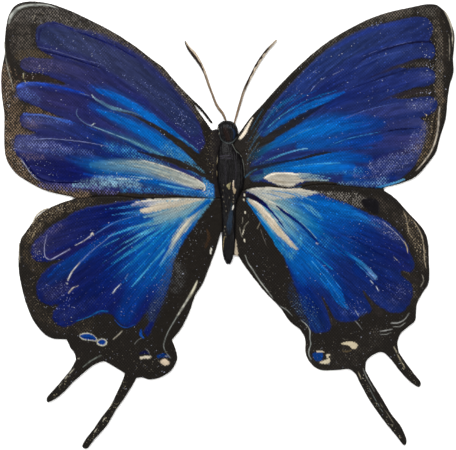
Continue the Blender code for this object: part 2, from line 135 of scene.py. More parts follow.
def beside(x, y, line, closed=False):
    """Signed offset, length along and width for places beside a line of x, y and width, and its length."""
    ends = np.roll(line, -1, axis=0) if closed else line[1:]
    starts = line if closed else line[:-1]
    best = np.full(len(x), 1e9)
    offset, run, width = np.zeros(len(x)), np.zeros(len(x)), np.ones(len(x))
    travelled = 0.0
    for a, b in zip(starts, ends):
        dx, dy = b[0] - a[0], b[1] - a[1]
        length = math.hypot(dx, dy)
        if length < 1e-9:
            continue
        share = np.clip(((x - a[0]) * dx + (y - a[1]) * dy) / length**2, 0.0, 1.0)
        gap_x, gap_y = x - a[0] - share * dx, y - a[1] - share * dy
        far = gap_x * gap_x + gap_y * gap_y
        if len(a) > 2:
            wide = a[2] + share * (b[2] - a[2])
            far = far / (wide * wide)
        closer = far < best
        best[closer] = far[closer]
        side = np.sign(dx * gap_y - dy * gap_x)
        offset[closer] = (side * np.hypot(gap_x, gap_y))[closer]
        run[closer] = (travelled + share * length)[closer]
        if len(a) > 2:
            width[closer] = wide[closer]
        travelled += length
    return offset, run, width, travelled


def blended(paints, along):
    """The mix of some paints at each share of a line's length."""
    stops = np.linspace(0, 1, len(paints))
    light = np.array([linear(paint) for paint in paints])
    return np.stack([np.interp(along, stops, light[:, k]) for k in range(3)], axis=1)


class Face:
    """The painted face of a leaf: places on the pattern sheet, and the colour and height of the paint there.

    Each place has two colours, one on the raised threads and one in the gaps between them; the paint on the
    threads carries a painted highlight and that in the gaps a painted shade.
    Every mark takes its own seed in turn, so their order is part of the look.
    """

    def __init__(self, x, y, seed):
        self.x, self.y, self.seed = x, y, seed
        # The black ground, lighter on the threads and darker in the gaps: painted highlight and shade of the
        # weave
        self.crest = np.tile(linear(BLACK) * CREST_HIGHLIGHT_TONE, (len(x), 1))
        self.gap = np.tile(linear(BLACK) * GAP_SHADE_TONE, (len(x), 1))
        self.height = np.zeros(len(x))
        self.wet = np.zeros(len(x))  # how far paint has filled the weave
        self.field = np.ones(len(x))  # where glazes and fans stay
        self.lines = []  # raised lines, made as beads later
        self.crumbs = []  # crumbs of paint: place, half width and colour
        self.lift = np.sin(math.pi * x / WARP) * np.sin(math.pi * y / WEFT)
        patches = 0.6 * grain(x / 9, y / 7, seed + 50) + 0.4 * grain(x / 2.5, y / 2, seed + 51)
        self.calm = CALM[0] + (CALM[1] - CALM[0]) * eased(0.3, 0.75, patches)

    def next_seed(self):
        self.seed += 1
        return self.seed

    def near(self, points, reach):
        """The places within reach of a line's box."""
        low, high = points[:, :2].min(0) - reach, points[:, :2].max(0) + reach
        picked = (self.x > low[0]) & (self.x < high[0]) & (self.y > low[1]) & (self.y < high[1])
        return np.flatnonzero(picked)

    def along(self, points, step, clearance):
        """The places near a line with widths, and for each its offset, run, width and the line's length."""
        line = smooth(points, step)
        at = self.near(line, line[:, 2].max() / 2 + clearance)
        return at, *beside(self.x[at], self.y[at], line)

    def coat(self, at, tint, crest, gap, even=0.0):
        """Lays a tint as far as it covers the threads and the gaps. Thick paint lies more even."""
        even = np.maximum(even, self.calm[at])[:, None]
        # Each tint is laid lighter on the threads and darker in the gaps, a painted highlight and shade of
        # the weave; even paint takes less of both
        self.crest[at] += (tint * (CREST_HIGHLIGHT_TONE + (1 - CREST_HIGHLIGHT_TONE) * even) - self.crest[at]) * crest[:, None]
        self.gap[at] += (tint * (GAP_SHADE_TONE + (1 - GAP_SHADE_TONE) * even) - self.gap[at]) * gap[:, None]

    def wash(self, outline, paint, soft=0.3, ragged=0.5, rise=0, lip=0, mottle=0.1, even=0, field=False):
        """Fills a smooth closed outline with paint, with an uneven edge and a raised lip.

        Glazes and fans that follow a field stay on it.
        """
        seed = self.next_seed()
        rim = smooth(outline, 1.2, closed=True)
        at = self.near(rim, 1.5)
        x, y = self.x[at], self.y[at]
        depth = np.where(enclosed(x, y, rim), 1, -1) * np.abs(beside(x, y, rim, closed=True)[0])
        depth = depth + ragged * (grain(x / 0.9, y / 0.9, seed) + grain(x / 0.4, y / 0.4, seed + 100) - 1)
        share = eased(-soft, soft, depth)
        tone = 1 + mottle * (grain(x / 2.2, y / 1.1, seed + 200) + grain(x / 0.6, y / 0.5, seed + 300) - 1)
        self.coat(at, linear(paint) * tone[:, None], share, share * eased(-soft, soft, depth - 0.2), even)
        self.height[at] += rise * eased(-0.1, 0.7, depth) + lip * np.exp(-(((depth - 0.3) / 0.28) ** 2))
        self.wet[at] = np.maximum(self.wet[at], share * WASH_WET)
        if field:
            self.field[:] = 0
            self.field[at] = eased(-0.3, 0.6, depth)

    def stroke(
        self, points, *paints, soft=0.3, dry=(0, 0), streak=0.45, cover=1, rise=0, lip=0, weave=0.3,
        ragged=0.12, hair=0.6, even=0,
    ):
        """One pull of the brush: points of its middle line, each with the width there, and paints along it.

        Soft is the share of the half width that fades out, dry how bare the bristles leave it at either end,
        streak how much the tone changes across the bristles, hair how wide a bristle's mark is and weave how
        much less of it gets into the gaps.
        """
        seed = self.next_seed()
        at, offset, run, width, length = self.along(points, LINE_STEP, 0.6)
        along = run / length
        bristle = 0.55 * grain(run / 7, offset / hair, seed)
        bristle += 0.25 * grain(run / 2, offset / (hair / 2), seed + 1)
        bristle += 0.2 * grain(self.x[at] / 0.5, self.y[at] / 0.6, seed + 3)
        side = np.abs(offset) / (width / 2) + ragged * (grain(run / 1.5, offset / 1.5, seed + 2) - 0.5) * 2
        edge = eased(1.0 - soft, 1.0 + soft * 0.3, side)
        bare = dry[0] + (dry[1] - dry[0]) * along
        thirst = SPAN * bare - 0.15 + edge * (1.2 - SPAN * bare)
        crest = eased(thirst - SOAK, thirst + SOAK, bristle) * eased(1.3, 0.9, side) * cover
        thirst = thirst + 0.5 * weave
        gap = eased(thirst - SOAK, thirst + SOAK, bristle) * eased(1.3, 0.9, side) * cover
        tint = blended(paints, along) * (1 + streak * (bristle - 0.5) * 2)[:, None]
        self.coat(at, tint, crest, gap, even)
        shoulder = eased(1.0, 0.55, side)
        ridge = np.exp(-(((side - 0.82) / 0.12) ** 2)) * (width > 1.2)
        self.height[at] += gap * rise * shoulder * (0.6 + 0.8 * bristle) + crest * lip * ridge
        self.wet[at] = np.maximum(self.wet[at], gap * STROKE_WET)

    def thin(self, points, paint, dry, cover=0.85, rise=0.18):
        """A thin line of paint, raised unless its rise is 0."""
        narrow = [(x, y, 0.8 * width) for x, y, width in points]
        self.stroke(narrow, paint, cover=0.5 * cover, dry=dry, rise=min(rise, 0.1), **THIN_BRUSH)
        if rise > 0:
            self.lines.append((points, paint, dry))

    def glaze(self, points, *paints, cover=0.8, soft=1.0, streak=0.28, hair=0.8):
        """Thin even paint along a line with widths, fading out to either side and at both ends."""
        seed = self.next_seed()
        at, offset, run, width, length = self.along(points, LINE_STEP, 0.3)
        marks = 0.6 * grain(run / 8, offset / hair, seed)
        marks += 0.4 * grain(run / 3, offset / (hair / 2), seed + 1)
        side = np.abs(offset) / (width / 2)
        share = eased(1.0, 1.0 - soft, side + 0.25 * (marks - 0.5)) * cover * self.field[at]
        self.coat(at, blended(paints, run / length) * (1 + streak * 2 * (marks - 0.5))[:, None], share, share)

    def fan(self, root, rays, *paints, streak, dry):
        """Paint drawn out from a root. Each ray holds its bearing and how far each of the paints reaches."""
        seed = self.next_seed()
        rays = np.array(rays, float)
        dx, dy = self.x - root[0], self.y - root[1]
        bearing = np.degrees(np.arctan2(dy, dx))
        bearing = np.where(bearing < rays[0, 0] - 180, bearing + 360, bearing)
        reach = np.hypot(dx, dy)
        swept = (bearing > rays[0, 0]) & (bearing < rays[-1, 0])
        at = np.flatnonzero(swept & (reach < rays[:, 1:].max() * 1.3))
        bearing, reach = bearing[at], reach[at]
        marks = 0.45 * grain(bearing / FAN_HAIR, reach / 18, seed)
        marks = marks + 0.35 * grain(bearing / (FAN_HAIR / 3), reach / 7, seed + 1)
        marks += 0.2 * grain(self.x[at] / 0.5, self.y[at] / 0.6, seed + 2)
        drawn = reach * (1 + streak * 2 * (marks - 0.5))
        ends = [np.interp(bearing, rays[:, 0], rays[:, k + 1]) for k in range(len(paints))]
        faded = [eased(end * (1 - FAN_FADE), end * (1 + FAN_FADE), drawn) for end in ends]
        tint = np.tile(linear(paints[0]), (len(at), 1))
        for paint, share in zip(paints[1:], faded):
            tint += (linear(paint) - tint) * share[:, None]
        edge = eased(2.5, 0.0, np.minimum(bearing - rays[0, 0], rays[-1, 0] - bearing))
        tail = faded[-1]
        thirst = SPAN * dry - 0.15 + np.maximum(tail, edge) * (1.2 - SPAN * dry)
        crest = eased(thirst - 0.3, thirst + 0.3, marks) * (1 - tail) * (1 - edge) * self.field[at]
        thirst = thirst + 0.15
        gap = eased(thirst - 0.3, thirst + 0.3, marks) * (1 - tail) * (1 - edge) * self.field[at]
        self.coat(at, tint * (1 + 0.45 * (marks - 0.5))[:, None], crest, gap)
        self.height[at] += 0.14 * gap * marks
        self.wet[at] = np.maximum(self.wet[at], gap * FAN_WET)

    def brushed(self, root):
        """Fine marks of the bristles in the paint of the field, all drawn away from one point."""
        seed = self.next_seed()
        at = np.flatnonzero(self.field > 0.3)
        dx, dy = self.x[at] - root[0], self.y[at] - root[1]
        bend = 1.6 * grain(self.x[at] / 14, self.y[at] / 14, seed + 2)
        bearing, reach = np.degrees(np.arctan2(dy, dx)) % 360 + bend, np.hypot(dx, dy)
        marks = 0.6 * grain(bearing / 0.5, reach / 9, seed) + 0.4 * grain(bearing / 0.27, reach / 4, seed + 1)
        pull = (eased(0.5, 0.8, marks) - 0.7 * eased(0.5, 0.25, marks)) * self.field[at]
        self.crest[at] *= (1 + BRUSHED_TONE * pull)[:, None]
        self.gap[at] *= (1 + BRUSHED_TONE * pull)[:, None]
        self.height[at] += BRUSHED_RELIEF * pull

    def catch(self, points, paint, amount=0.5, soft=0.9, sink=0.0, patchy=0.7):
        """Dry paint that the raised threads catch, along a line. Sink is how much gets between them."""
        seed = self.next_seed()
        at, offset, _, width, _ = self.along(points, 2.0, 0.5)
        x, y = self.x[at], self.y[at]
        uneven = grain(x / 1.6, y / 1.6, seed + 2) + grain(x / 0.7, y / 0.7, seed + 3) - 1
        inside = eased(1.15, 1.15 - soft, np.abs(offset) / (width / 2) + 0.35 * uneven)
        patch = (1 - patchy) + patchy * 2 * grain(x / 2.5, y / 2.5, seed)
        crumb = 0.25 + 1.5 * eased(0.3, 0.7, grain(x / 0.52, y / 0.74, seed + 1))
        share = np.clip(amount * patch * inside * crumb, 0, 1)
        self.crest[at] += (linear(paint) - self.crest[at]) * share[:, None]
        self.gap[at] += (linear(paint) - self.gap[at]) * (share * sink)[:, None]

    def sprinkle(self, points, paint, count, size):
        """Crumbs of dried paint scattered along a line with widths."""
        chance = np.random.default_rng(self.next_seed())
        line = smooth(points, 1.0)
        picked = chance.integers(0, len(line), count)
        bearing = chance.uniform(0, 2 * math.pi, count)
        far = np.sqrt(chance.random(count)) * line[picked, 2] / 2
        for (x, y, _), turn, out in zip(line[picked], bearing, far):
            half = size * (0.5 + chance.random())
            tint = linear(paint) * (0.5 + 0.7 * chance.random())
            self.crumbs.append((x + out * math.cos(turn), y + out * math.sin(turn), half, *tint))


# Wing patterns


def paint_left_forewing(face):
    # Weave that shows through the dark margin
    face.catch([(6, 9, 10), (14, 7, 13), (26, 8, 15), (40, 13, 12), (55, 19, 10)], (108, 102, 96),
        amount=0.68, sink=0.06, patchy=0.9)
    face.catch([(9, 14, 13), (12, 24, 15), (16, 32, 10)], (96, 88, 80), amount=0.68, sink=0.04, patchy=0.9)
    face.catch([(50, 16, 8), (66, 25, 8), (80, 36, 7), (93, 49, 5), (100, 60, 4)], (104, 95, 84),
        amount=0.6, sink=0.04, patchy=0.9)
    face.catch([(3, 36, 9), (2.5, 46, 13), (4, 58, 13), (5, 70, 13), (9, 81, 13), (17, 90, 11),
        (30, 95.5, 9), (42, 98.5, 7)], (140, 118, 96), amount=0.58, soft=0.25)
    face.catch([(8, 54.5, 7), (18, 54.8, 5), (28, 57.6, 3)], (120, 98, 74), amount=0.6, sink=0.04)
    face.catch([(8, 66, 6), (16, 66.6, 3)], (124, 104, 82), amount=0.65, sink=0.04)
    face.catch([(10, 28, 6), (18, 27, 5), (26, 28, 3)], (96, 82, 62), amount=0.8, sink=0.12)
    # The blue, with a notch of ground between each two fingers
    face.wash([(18, 17), (18.8, 13.6), (22.5, 11.2), (27, 10.8), (32, 12.2), (38, 14.2), (46, 15.6),
        (53, 18.2), (60, 21.6), (67, 25.6), (75, 31.6), (83, 39.4), (90, 47.6), (96.5, 56), (100.5, 63.5),
        (102.2, 69.5), (104.5, 84), (107, 92), (107, 98.6), (98, 98), (88, 97.4), (75, 96.8), (62, 96.2),
        (50, 95.4), (40, 94.4), (30, 93), (22, 91.6), (17, 88.8), (13.5, 84.8), (10.6, 80.2), (7.8, 76.6),
        (7, 71), (8.6, 67.4), (14, 67.2), (18, 66.4), (14, 64.6), (10.8, 62.4), (10, 58.4), (12.6, 56.4),
        (19, 57.2), (26, 58.2), (31.5, 58.9), (25.5, 56.6), (20, 54), (14, 51.4), (10.4, 49.6), (8.2, 46.5),
        (8, 43), (10, 41.2), (16, 40.8), (24, 41.2), (33, 42.4), (27, 39.4), (20, 36.6), (14, 36),
        (10.4, 33.4), (10.8, 30.2), (14.6, 28.6), (20, 29.2), (27, 29), (22.5, 26.6), (19.6, 24.2),
        (18.2, 21)], (38, 42, 92), rise=0.34, lip=0.1, field=True)
    face.catch([(34, 13.4, 2.5), (50, 17, 2.5), (66, 24.6, 2.5), (82, 38, 2.5), (96, 55, 2.5)],
        (66, 64, 88), amount=0.7, sink=0.4)
    # Violet greyed fingers and the broad field that runs on from them
    face.glaze([(22, 17.4, 12), (32, 19.5, 14), (46, 23.5, 15), (60, 31, 17), (76, 43, 18), (90, 57, 14),
        (97, 65, 8)], (42, 50, 84), (50, 56, 88), (48, 54, 88), (42, 50, 84), (37, 48, 86), cover=0.9,
        soft=0.45)
    face.glaze([(50, 20.5, 5), (66, 27.5, 5), (80, 38.5, 5), (92, 52, 4)], (42, 44, 94), (36, 42, 92),
        cover=0.6)
    face.glaze([(13, 32.5, 7), (26, 33, 9), (40, 36.5, 10), (56, 43, 9), (72, 52, 7)], (54, 52, 84),
        (48, 48, 86), (42, 44, 90), (32, 38, 92), cover=0.9, soft=0.5)
    face.glaze([(12, 46, 9), (24, 48.8, 12), (38, 51.6, 12), (50, 55.4, 9)], (48, 52, 104), (46, 44, 88),
        (42, 42, 90), (30, 38, 96), cover=0.9, soft=0.4)
    face.glaze([(20, 44.2, 2.6), (34, 46.4, 3), (46, 49.4, 2)], (30, 38, 96), (26, 34, 92), cover=0.7)
    face.glaze([(14, 61, 7), (26, 62.4, 8), (38, 65.6, 9), (50, 69.4, 8)], (60, 60, 98), (44, 52, 104),
        (34, 46, 104), (22, 42, 102), cover=0.9, soft=0.5)
    face.glaze([(11, 72, 9), (24, 73, 9), (38, 74.6, 9), (52, 76.6, 8), (64, 79, 5)], (64, 68, 114),
        (34, 42, 98), (26, 38, 96), (16, 40, 108), cover=0.9, soft=0.4)
    face.glaze([(14, 83, 8), (26, 84.4, 12), (38, 85.4, 11), (48, 85.4, 8)], (30, 32, 78), (24, 28, 80),
        (20, 26, 86), (12, 32, 100), cover=0.95, soft=0.4, streak=0.16)
    face.glaze([(26, 88.6, 4), (36, 90, 4), (46, 90.4, 3)], (16, 24, 84), (14, 24, 88))
    # Dark lines beside the fingers, painted shade; two are sunk a little
    face.stroke([(19.6, 20, 1.6), (19.8, 16.2, 1.6), (23, 13.4, 1.4)], (30, 32, 74), dry=(0.2, 0.4),
        soft=0.6)
    face.stroke([(22, 25.6, 1), (31, 28, 1.2), (40, 30.6, 1.1), (50, 34, 0.8)], (20, 24, 66),
        dry=(0.05, 0.4), rise=-0.12)
    face.stroke([(27, 11.6, 1), (36, 14.6, 1.2), (46, 18.6, 1.2), (58, 23.4, 1), (68, 29, 0.8)],
        (22, 28, 84), dry=(0.05, 0.3), rise=-0.08)
    face.stroke([(10, 38.4, 2.4), (18, 38.6, 3.2), (26, 40, 2.4), (32, 41.6, 1)], (46, 38, 34),
        dry=(0.3, 0.3), weave=0.2)
    # Weave that shows through the finger ends
    for path, paint, amount in (
        ([(9, 72, 8), (14, 71.4, 11), (20, 72.6, 9), (30, 74, 5), (36, 75, 3)], (120, 128, 182), 0.45),
        ([(9.6, 47.6, 6), (12.6, 47.4, 8), (18, 50, 6)], (90, 110, 176), 0.45),
        ([(13, 62, 7), (19, 61.5, 7)], (110, 96, 110), 0.4),
        ([(12, 59, 4), (22, 59, 5), (34, 61.6, 4)], (90, 106, 170), 0.45),
        ([(13, 31.5, 6), (20, 32.5, 7), (30, 34, 6)], (92, 84, 120), 0.35),
        ([(24, 76.2, 4), (34, 75.6, 5), (46, 77, 4)], (84, 106, 168), 0.4),
        ([(12, 78, 5), (22, 78.6, 3)], (104, 92, 116), 0.5),
        ([(20, 92.6, 3), (32, 93.2, 5), (46, 94.6, 5), (58, 96.4, 3)], (104, 100, 156), 0.6),
    ):
        face.catch(path, paint, amount=amount)
    # Brighter streaks along the fingers' upper edges: painted highlights
    face.glaze([(9, 43.4, 3.4), (14, 42.2, 3), (24, 42.8, 2.6), (34, 45, 2.2), (44, 48, 1.4)],
        (60, 84, 168), (28, 58, 144), (22, 50, 138), (24, 44, 118), cover=0.85)
    face.stroke([(8.6, 43.4, 1.2), (12, 41.6, 1.2), (24, 42.2, 1.2), (34, 44.4, 1.2), (42, 46.6, 0.8)],
        (56, 88, 176), (14, 52, 148), (20, 56, 148), dry=(0.2, 0.35), soft=0.7)
    face.stroke([(12, 57.2, 1.4), (22, 57.8, 1.8), (32, 60.4, 2.4), (42, 63, 2.2), (50, 66, 1)],
        (64, 84, 156), (62, 92, 164), (36, 72, 150), (24, 56, 136), dry=(0.35, 0.5), soft=0.8)
    # Azure between the veins
    face.glaze([(46, 43.5, 5), (54, 46.4, 10), (64, 52, 11), (78, 61, 9), (90, 70, 6)], (20, 60, 136),
        (8, 80, 160), (6, 80, 156), (14, 70, 142), cover=0.55)
    face.stroke([(48.5, 45, 2.4), (54, 46.6, 4.6), (60, 49.4, 5.8), (67, 53.6, 6.2), (75, 58.4, 5.4),
        (84, 64.6, 3.8), (92, 70.6, 2.6), (100, 77, 1.4)], (8, 74, 154), (4, 88, 168), (2, 92, 170),
        (6, 84, 156), (16, 70, 134), soft=0.7, streak=0.16, dry=(0.25, 0.35), weave=0.1, rise=0.08)
    face.glaze([(46, 53, 6), (56, 57.6, 9), (66, 62.6, 12), (77, 69, 14), (88, 76.6, 12), (98, 84, 9)],
        (22, 56, 128), (8, 76, 150), (2, 84, 160), (4, 92, 164), (18, 96, 156), cover=0.75, soft=0.8)
    face.stroke([(49, 55.4, 2), (58, 59, 5), (68, 63.6, 7.6), (78, 69.6, 8.6), (88, 76.6, 7.4),
        (96, 82.4, 5), (102, 86.6, 3)], (16, 78, 150), (2, 86, 162), (2, 90, 166), (10, 96, 162),
        (40, 110, 156), soft=0.8, streak=0.14, dry=(0.3, 0.2), weave=0.1, rise=0.08)
    face.catch([(84, 74, 8), (94, 80, 10), (101, 86, 7)], (100, 156, 176), amount=0.4)
    # Pale ridges above the veins: painted highlights on raised paint, with a dark line below them that is
    # painted shade
    face.stroke([(46, 47.6, 0.8), (48, 49.6, 1.2), (51.5, 51.6, 2), (56, 54, 2.4), (61, 55.2, 2),
        (66, 56.2, 1.4), (71, 58.4, 0.8)], (116, 146, 170), (70, 104, 138), (84, 126, 146), (80, 112, 136),
        (60, 84, 112), rise=0.12, streak=0.3, soft=0.8, dry=(0.1, 0.3), cover=0.85)
    face.glaze([(50, 64.4, 3), (58, 67.4, 5), (68, 71.4, 6), (78, 76.6, 5), (88, 81.4, 2)], (30, 66, 126),
        (52, 104, 152), (54, 118, 158), (40, 108, 154), cover=0.6)
    face.stroke([(47, 63.6, 0.7), (54, 66.2, 1), (62, 69, 1.6), (70, 72.4, 2.2), (78, 76.4, 1.8),
        (86, 80.2, 1)], (70, 100, 150), (70, 116, 150), (86, 134, 156), (84, 140, 158), (60, 120, 160),
        rise=0.08, streak=0.3, soft=0.9, dry=(0.25, 0.4), cover=0.8)
    face.stroke([(60, 69.4, 1.2), (68, 73.4, 1.4), (74, 76.2, 1)], (20, 50, 110), (14, 40, 100),
        dry=(0.3, 0.3), soft=0.6)
    # Drier blue below them
    face.glaze([(48, 71, 7), (58, 73.6, 9), (68, 76.8, 7), (76, 80.6, 4)], (20, 46, 116), (10, 66, 140),
        (10, 64, 138), (10, 48, 118), cover=0.75)
    face.catch([(54, 73, 6), (64, 76, 6), (74, 79.6, 4), (84, 82, 3)], (62, 132, 176), amount=0.55)
    face.glaze([(68, 80.2, 3), (78, 83, 3.6), (90, 86.6, 2.6)], (16, 34, 100), (12, 34, 108), (14, 50, 120),
        cover=0.9)
    # The bright band by the lower edge: azure, then mist that turns cream by the body
    face.glaze([(34, 79, 5), (44, 81.6, 10), (54, 84.2, 14), (66, 87, 14), (80, 90, 12), (94, 93.6, 8)],
        (20, 44, 112), (16, 80, 146), (20, 84, 150), (16, 86, 154), (14, 84, 152), cover=0.85, soft=0.8)
    face.stroke([(38, 80, 3), (46, 82, 7), (54, 84.6, 8)], (14, 56, 126), (10, 74, 146), (24, 92, 154),
        dry=(0.45, 0.2), soft=0.9, streak=0.2, weave=0.4)
    face.stroke([(42, 87, 2), (52, 88.2, 3), (64, 88.6, 3.6), (78, 91, 3.4), (92, 94.4, 2.6)],
        (10, 48, 122), (6, 66, 142), (10, 82, 156), (8, 72, 146), soft=0.8, dry=(0.3, 0.3), streak=0.3)
    face.catch([(38, 92.6, 4), (46, 91.6, 6), (54, 91, 7), (62, 91.6, 5), (70, 93, 3)], (140, 182, 204),
        amount=0.55, sink=0.35)
    face.catch([(48, 89, 3), (58, 89.8, 4), (68, 90.4, 3)], (110, 160, 190), amount=0.45, sink=0.3)
    face.catch([(62, 94.8, 4), (78, 95.2, 4), (96, 96.6, 3)], (60, 130, 184), amount=0.4, sink=0.3)
    face.glaze([(46, 82.4, 4), (56, 82.6, 8), (66, 82.8, 9), (76, 84.6, 10), (88, 88.4, 9), (98, 92.2, 6)],
        (40, 104, 152), (90, 134, 156), (120, 148, 156), (140, 158, 158), (160, 170, 164), soft=0.7,
        hair=0.6)
    face.stroke([(54, 81.6, 2.4), (64, 81.6, 4), (73, 82.8, 5.6), (82, 85.8, 6.8), (90, 88.8, 7.4),
        (97, 91.2, 6.6), (101.6, 93.2, 4)], (90, 128, 152), (124, 144, 150), (142, 154, 150),
        (150, 158, 150), (158, 162, 154), (168, 168, 156), rise=0.3, lip=0.04, streak=0.4, soft=0.8,
        dry=(0.5, 0.15), hair=0.5)
    for points, paint in (
        ([(60, 84, 0.6), (70, 85, 1.2), (80, 87.6, 1.2), (88, 90.2, 0.6)], (70, 116, 150)),
        ([(66, 81.6, 0.5), (76, 83.4, 0.9), (86, 86.8, 0.7)], (90, 126, 150)),
        ([(58, 86, 0.6), (68, 87, 1.2), (80, 89.8, 1), (90, 92.4, 0.6)], (50, 110, 154)),
        ([(76, 86, 0.5), (86, 89.4, 0.9), (96, 92.8, 0.6)], (196, 192, 176)),
    ):
        face.stroke(points, paint, dry=(0.35, 0.45), soft=0.8, hair=0.35, cover=0.8)
    face.stroke([(56, 88, 1.6), (66, 88.2, 2), (76, 89.4, 2.2)], (60, 116, 160), (90, 140, 166),
        (120, 150, 162), dry=(0.5, 0.5), soft=0.8)
    face.stroke([(59, 89.4, 1), (66, 89.9, 1.2), (74, 90.6, 0.8)], (170, 188, 190), (150, 176, 186),
        dry=(0.4, 0.5), soft=0.7)
    face.stroke([(80, 92.2, 1.6), (88, 93.6, 2), (97, 95.2, 1.2)], (60, 130, 176), (90, 150, 180),
        dry=(0.4, 0.4), soft=0.7)
    face.thin([(70.5, 79.9, 0.5), (78, 82, 0.8), (86, 84.6, 0.9), (94, 87.8, 0.9), (100, 90.8, 0.9),
        (102.4, 93, 1), (102.2, 95.2, 1.1), (100.2, 96, 0.8)], (222, 216, 202), dry=(0.3, 0.05))
    face.glaze([(84, 94.6, 2), (92, 96.2, 4), (100, 97, 5), (105, 97.4, 4)], (14, 76, 150), (10, 84, 156),
        (10, 84, 156), cover=0.95, soft=0.5)
    face.catch([(88, 95.8, 3), (98, 97.2, 4), (105, 97.6, 3)], (90, 154, 196), amount=0.4, sink=0.3)
    face.stroke([(101.4, 98.9, 0.4), (104.6, 99, 0.6), (107.4, 99, 0.5)], (80, 156, 200), dry=(0.2, 0.1))
    # Speckled blue at the root
    face.glaze([(103.4, 90.4, 5), (105.4, 94, 6), (106.4, 98.2, 5)], (30, 90, 146), (10, 88, 160),
        (0, 92, 168), cover=0.95, soft=0.4)
    face.catch([(102.8, 90, 5), (105.4, 96, 6)], (100, 166, 204), amount=0.4, sink=0.2)
    face.sprinkle([(102, 91, 5), (104.4, 96, 6)], (214, 220, 220), 26, 0.16)
    # Veins
    face.stroke([(58, 55.4, 0.5), (66, 57.4, 1), (72, 60.4, 1.7), (78, 63.6, 2.2), (84, 67.6, 2.8),
        (90, 72, 3.6), (97, 77.6, 4.6), (103, 83.4, 6), (107, 89, 7)], (50, 56, 80), (44, 42, 44),
        (42, 38, 34), (40, 36, 32), BLACK, streak=0.25, soft=0.25, rise=-0.1, dry=(0.2, 0), ragged=0.15)
    face.stroke([(69, 75.8, 0.8), (76, 77.6, 1.9), (83, 79.6, 3), (91, 82.2, 4), (99, 85, 4.8),
        (107, 88, 7)], (30, 34, 60), (40, 38, 38), (42, 38, 34), BLACK, streak=0.25, soft=0.25, rise=-0.1,
        dry=(0.2, 0), ragged=0.15)
    face.stroke([(89, 68.4, 0.8), (94, 71.6, 1.2), (99, 75.2, 1)], (60, 130, 176), (80, 130, 156),
        dry=(0.45, 0.45), soft=0.6)
    face.stroke([(92, 80.4, 3), (98, 83.4, 4), (102, 86.2, 3)], (60, 110, 140), (70, 104, 120),
        dry=(0.6, 0.6), soft=0.8, weave=0.5)
    face.wash([(102.2, 63), (105, 66), (104.8, 73), (106, 80), (107.4, 88), (105, 88), (101, 84),
        (98, 80.2), (99, 77), (101.6, 73), (102.6, 69)], BLACK, soft=0.5, ragged=0.8)
    face.wash([(106, 62), (112, 62), (112, 99), (107.8, 99), (106.9, 92), (105.6, 86), (104.5, 76)],
        (38, 35, 35), soft=0.4, ragged=0.6)
    face.catch([(105.6, 66, 4), (106.4, 78, 4), (107.2, 86, 3)], (120, 112, 96), amount=0.07, patchy=1)
    face.stroke([(50, 98, 0.8), (62, 97.6, 1.8), (80, 98.2, 1.2), (96, 98.8, 0.8), (104, 98.8, 0.6)],
        (44, 38, 34), soft=0.4, dry=(0.2, 0.2))
    face.brushed((160, 112))
    # Crumbs of dried paint
    face.sprinkle([(14, 40, 4), (18, 36, 5), (24, 34, 5)], (170, 158, 150), 26, 0.2)
    face.sprinkle([(12, 82, 4), (18, 84, 9), (28, 86, 9)], (140, 148, 190), 26, 0.16)
    face.sprinkle([(46, 30, 4), (54, 34, 6)], (120, 128, 176), 22, 0.16)
    face.sprinkle([(104, 68, 5), (105, 78, 5), (106.5, 88, 4)], (130, 118, 92), 60, 0.14)
    face.sprinkle([(62, 38, 4), (74, 44, 6), (86, 54, 7), (92, 64, 6)], (120, 130, 180), 80, 0.16)
    face.sprinkle([(88, 56, 8), (96, 66, 8), (100, 74, 5)], (130, 140, 190), 50, 0.18)
    face.sprinkle([(20, 20, 8), (36, 22, 8), (50, 28, 8)], (110, 118, 170), 40, 0.15)
    face.sprinkle([(14, 10, 8), (24, 7, 4), (40, 12, 4), (60, 20, 4), (80, 34, 4), (96, 54, 4)],
        (170, 158, 140), 60, 0.16)
    face.sprinkle([(4, 40, 3), (4, 60, 4), (8, 80, 4), (18, 90, 4)], (214, 204, 190), 60, 0.16)
    face.sprinkle([(50, 88, 5), (66, 89, 4)], (190, 206, 220), 30, 0.15)
    # Thin ridges: pale painted highlights on raised lines, with a painted shade line below the lowest
    face.thin([(18.8, 23.4, 0.7), (24, 24.6, 0.8), (31, 26.6, 0.8), (39, 29.2, 0.7), (47, 31.2, 0.6),
        (53, 33.2, 0.5)], (86, 92, 142), dry=(0.1, 0.4))
    face.thin([(27, 12, 0.5), (34, 14, 0.6), (42, 16.6, 0.5)], (70, 76, 120), dry=(0.4, 0.5))
    face.thin([(40, 46.6, 0.4), (44.6, 47.8, 0.5)], (110, 126, 170), dry=(0.2, 0.2))
    face.thin([(46, 47.4, 0.6), (46.6, 48.6, 0.8)], (196, 206, 214), dry=(0, 0))
    face.thin([(38.8, 54.4, 0.5), (38.2, 56.4, 0.6), (39.4, 59, 0.7), (42.6, 61.6, 0.7), (46, 63.2, 0.9)],
        (104, 128, 176), dry=(0.1, 0.1))
    face.thin([(45.8, 62.8, 0.9), (47.4, 61.6, 0.7)], (196, 208, 216), dry=(0, 0.2))
    face.thin([(47, 63.4, 0.6), (56, 66.8, 0.5), (64, 70, 0.5)], (140, 176, 200), dry=(0.3, 0.5))
    face.thin([(17, 69.8, 0.6), (24, 69.4, 0.7), (32, 69.9, 0.7), (42, 71, 0.6), (54, 73.2, 0.4)],
        (120, 130, 182), dry=(0.15, 0.4))
    face.thin([(10.2, 79, 0.6), (12.4, 82.2, 0.8), (14.6, 85.6, 0.8), (17.5, 88.8, 0.7), (20, 90.4, 0.5)],
        (170, 172, 186), dry=(0.4, 0.4))
    face.stroke([(12, 79.4, 0.8), (15.4, 84.6, 0.9), (18.6, 88.2, 0.8), (24, 90.6, 0.8), (34, 91.4, 0.7),
        (42, 91.2, 0.5)], (14, 18, 60), dry=(0.1, 0.2), rise=-0.08)
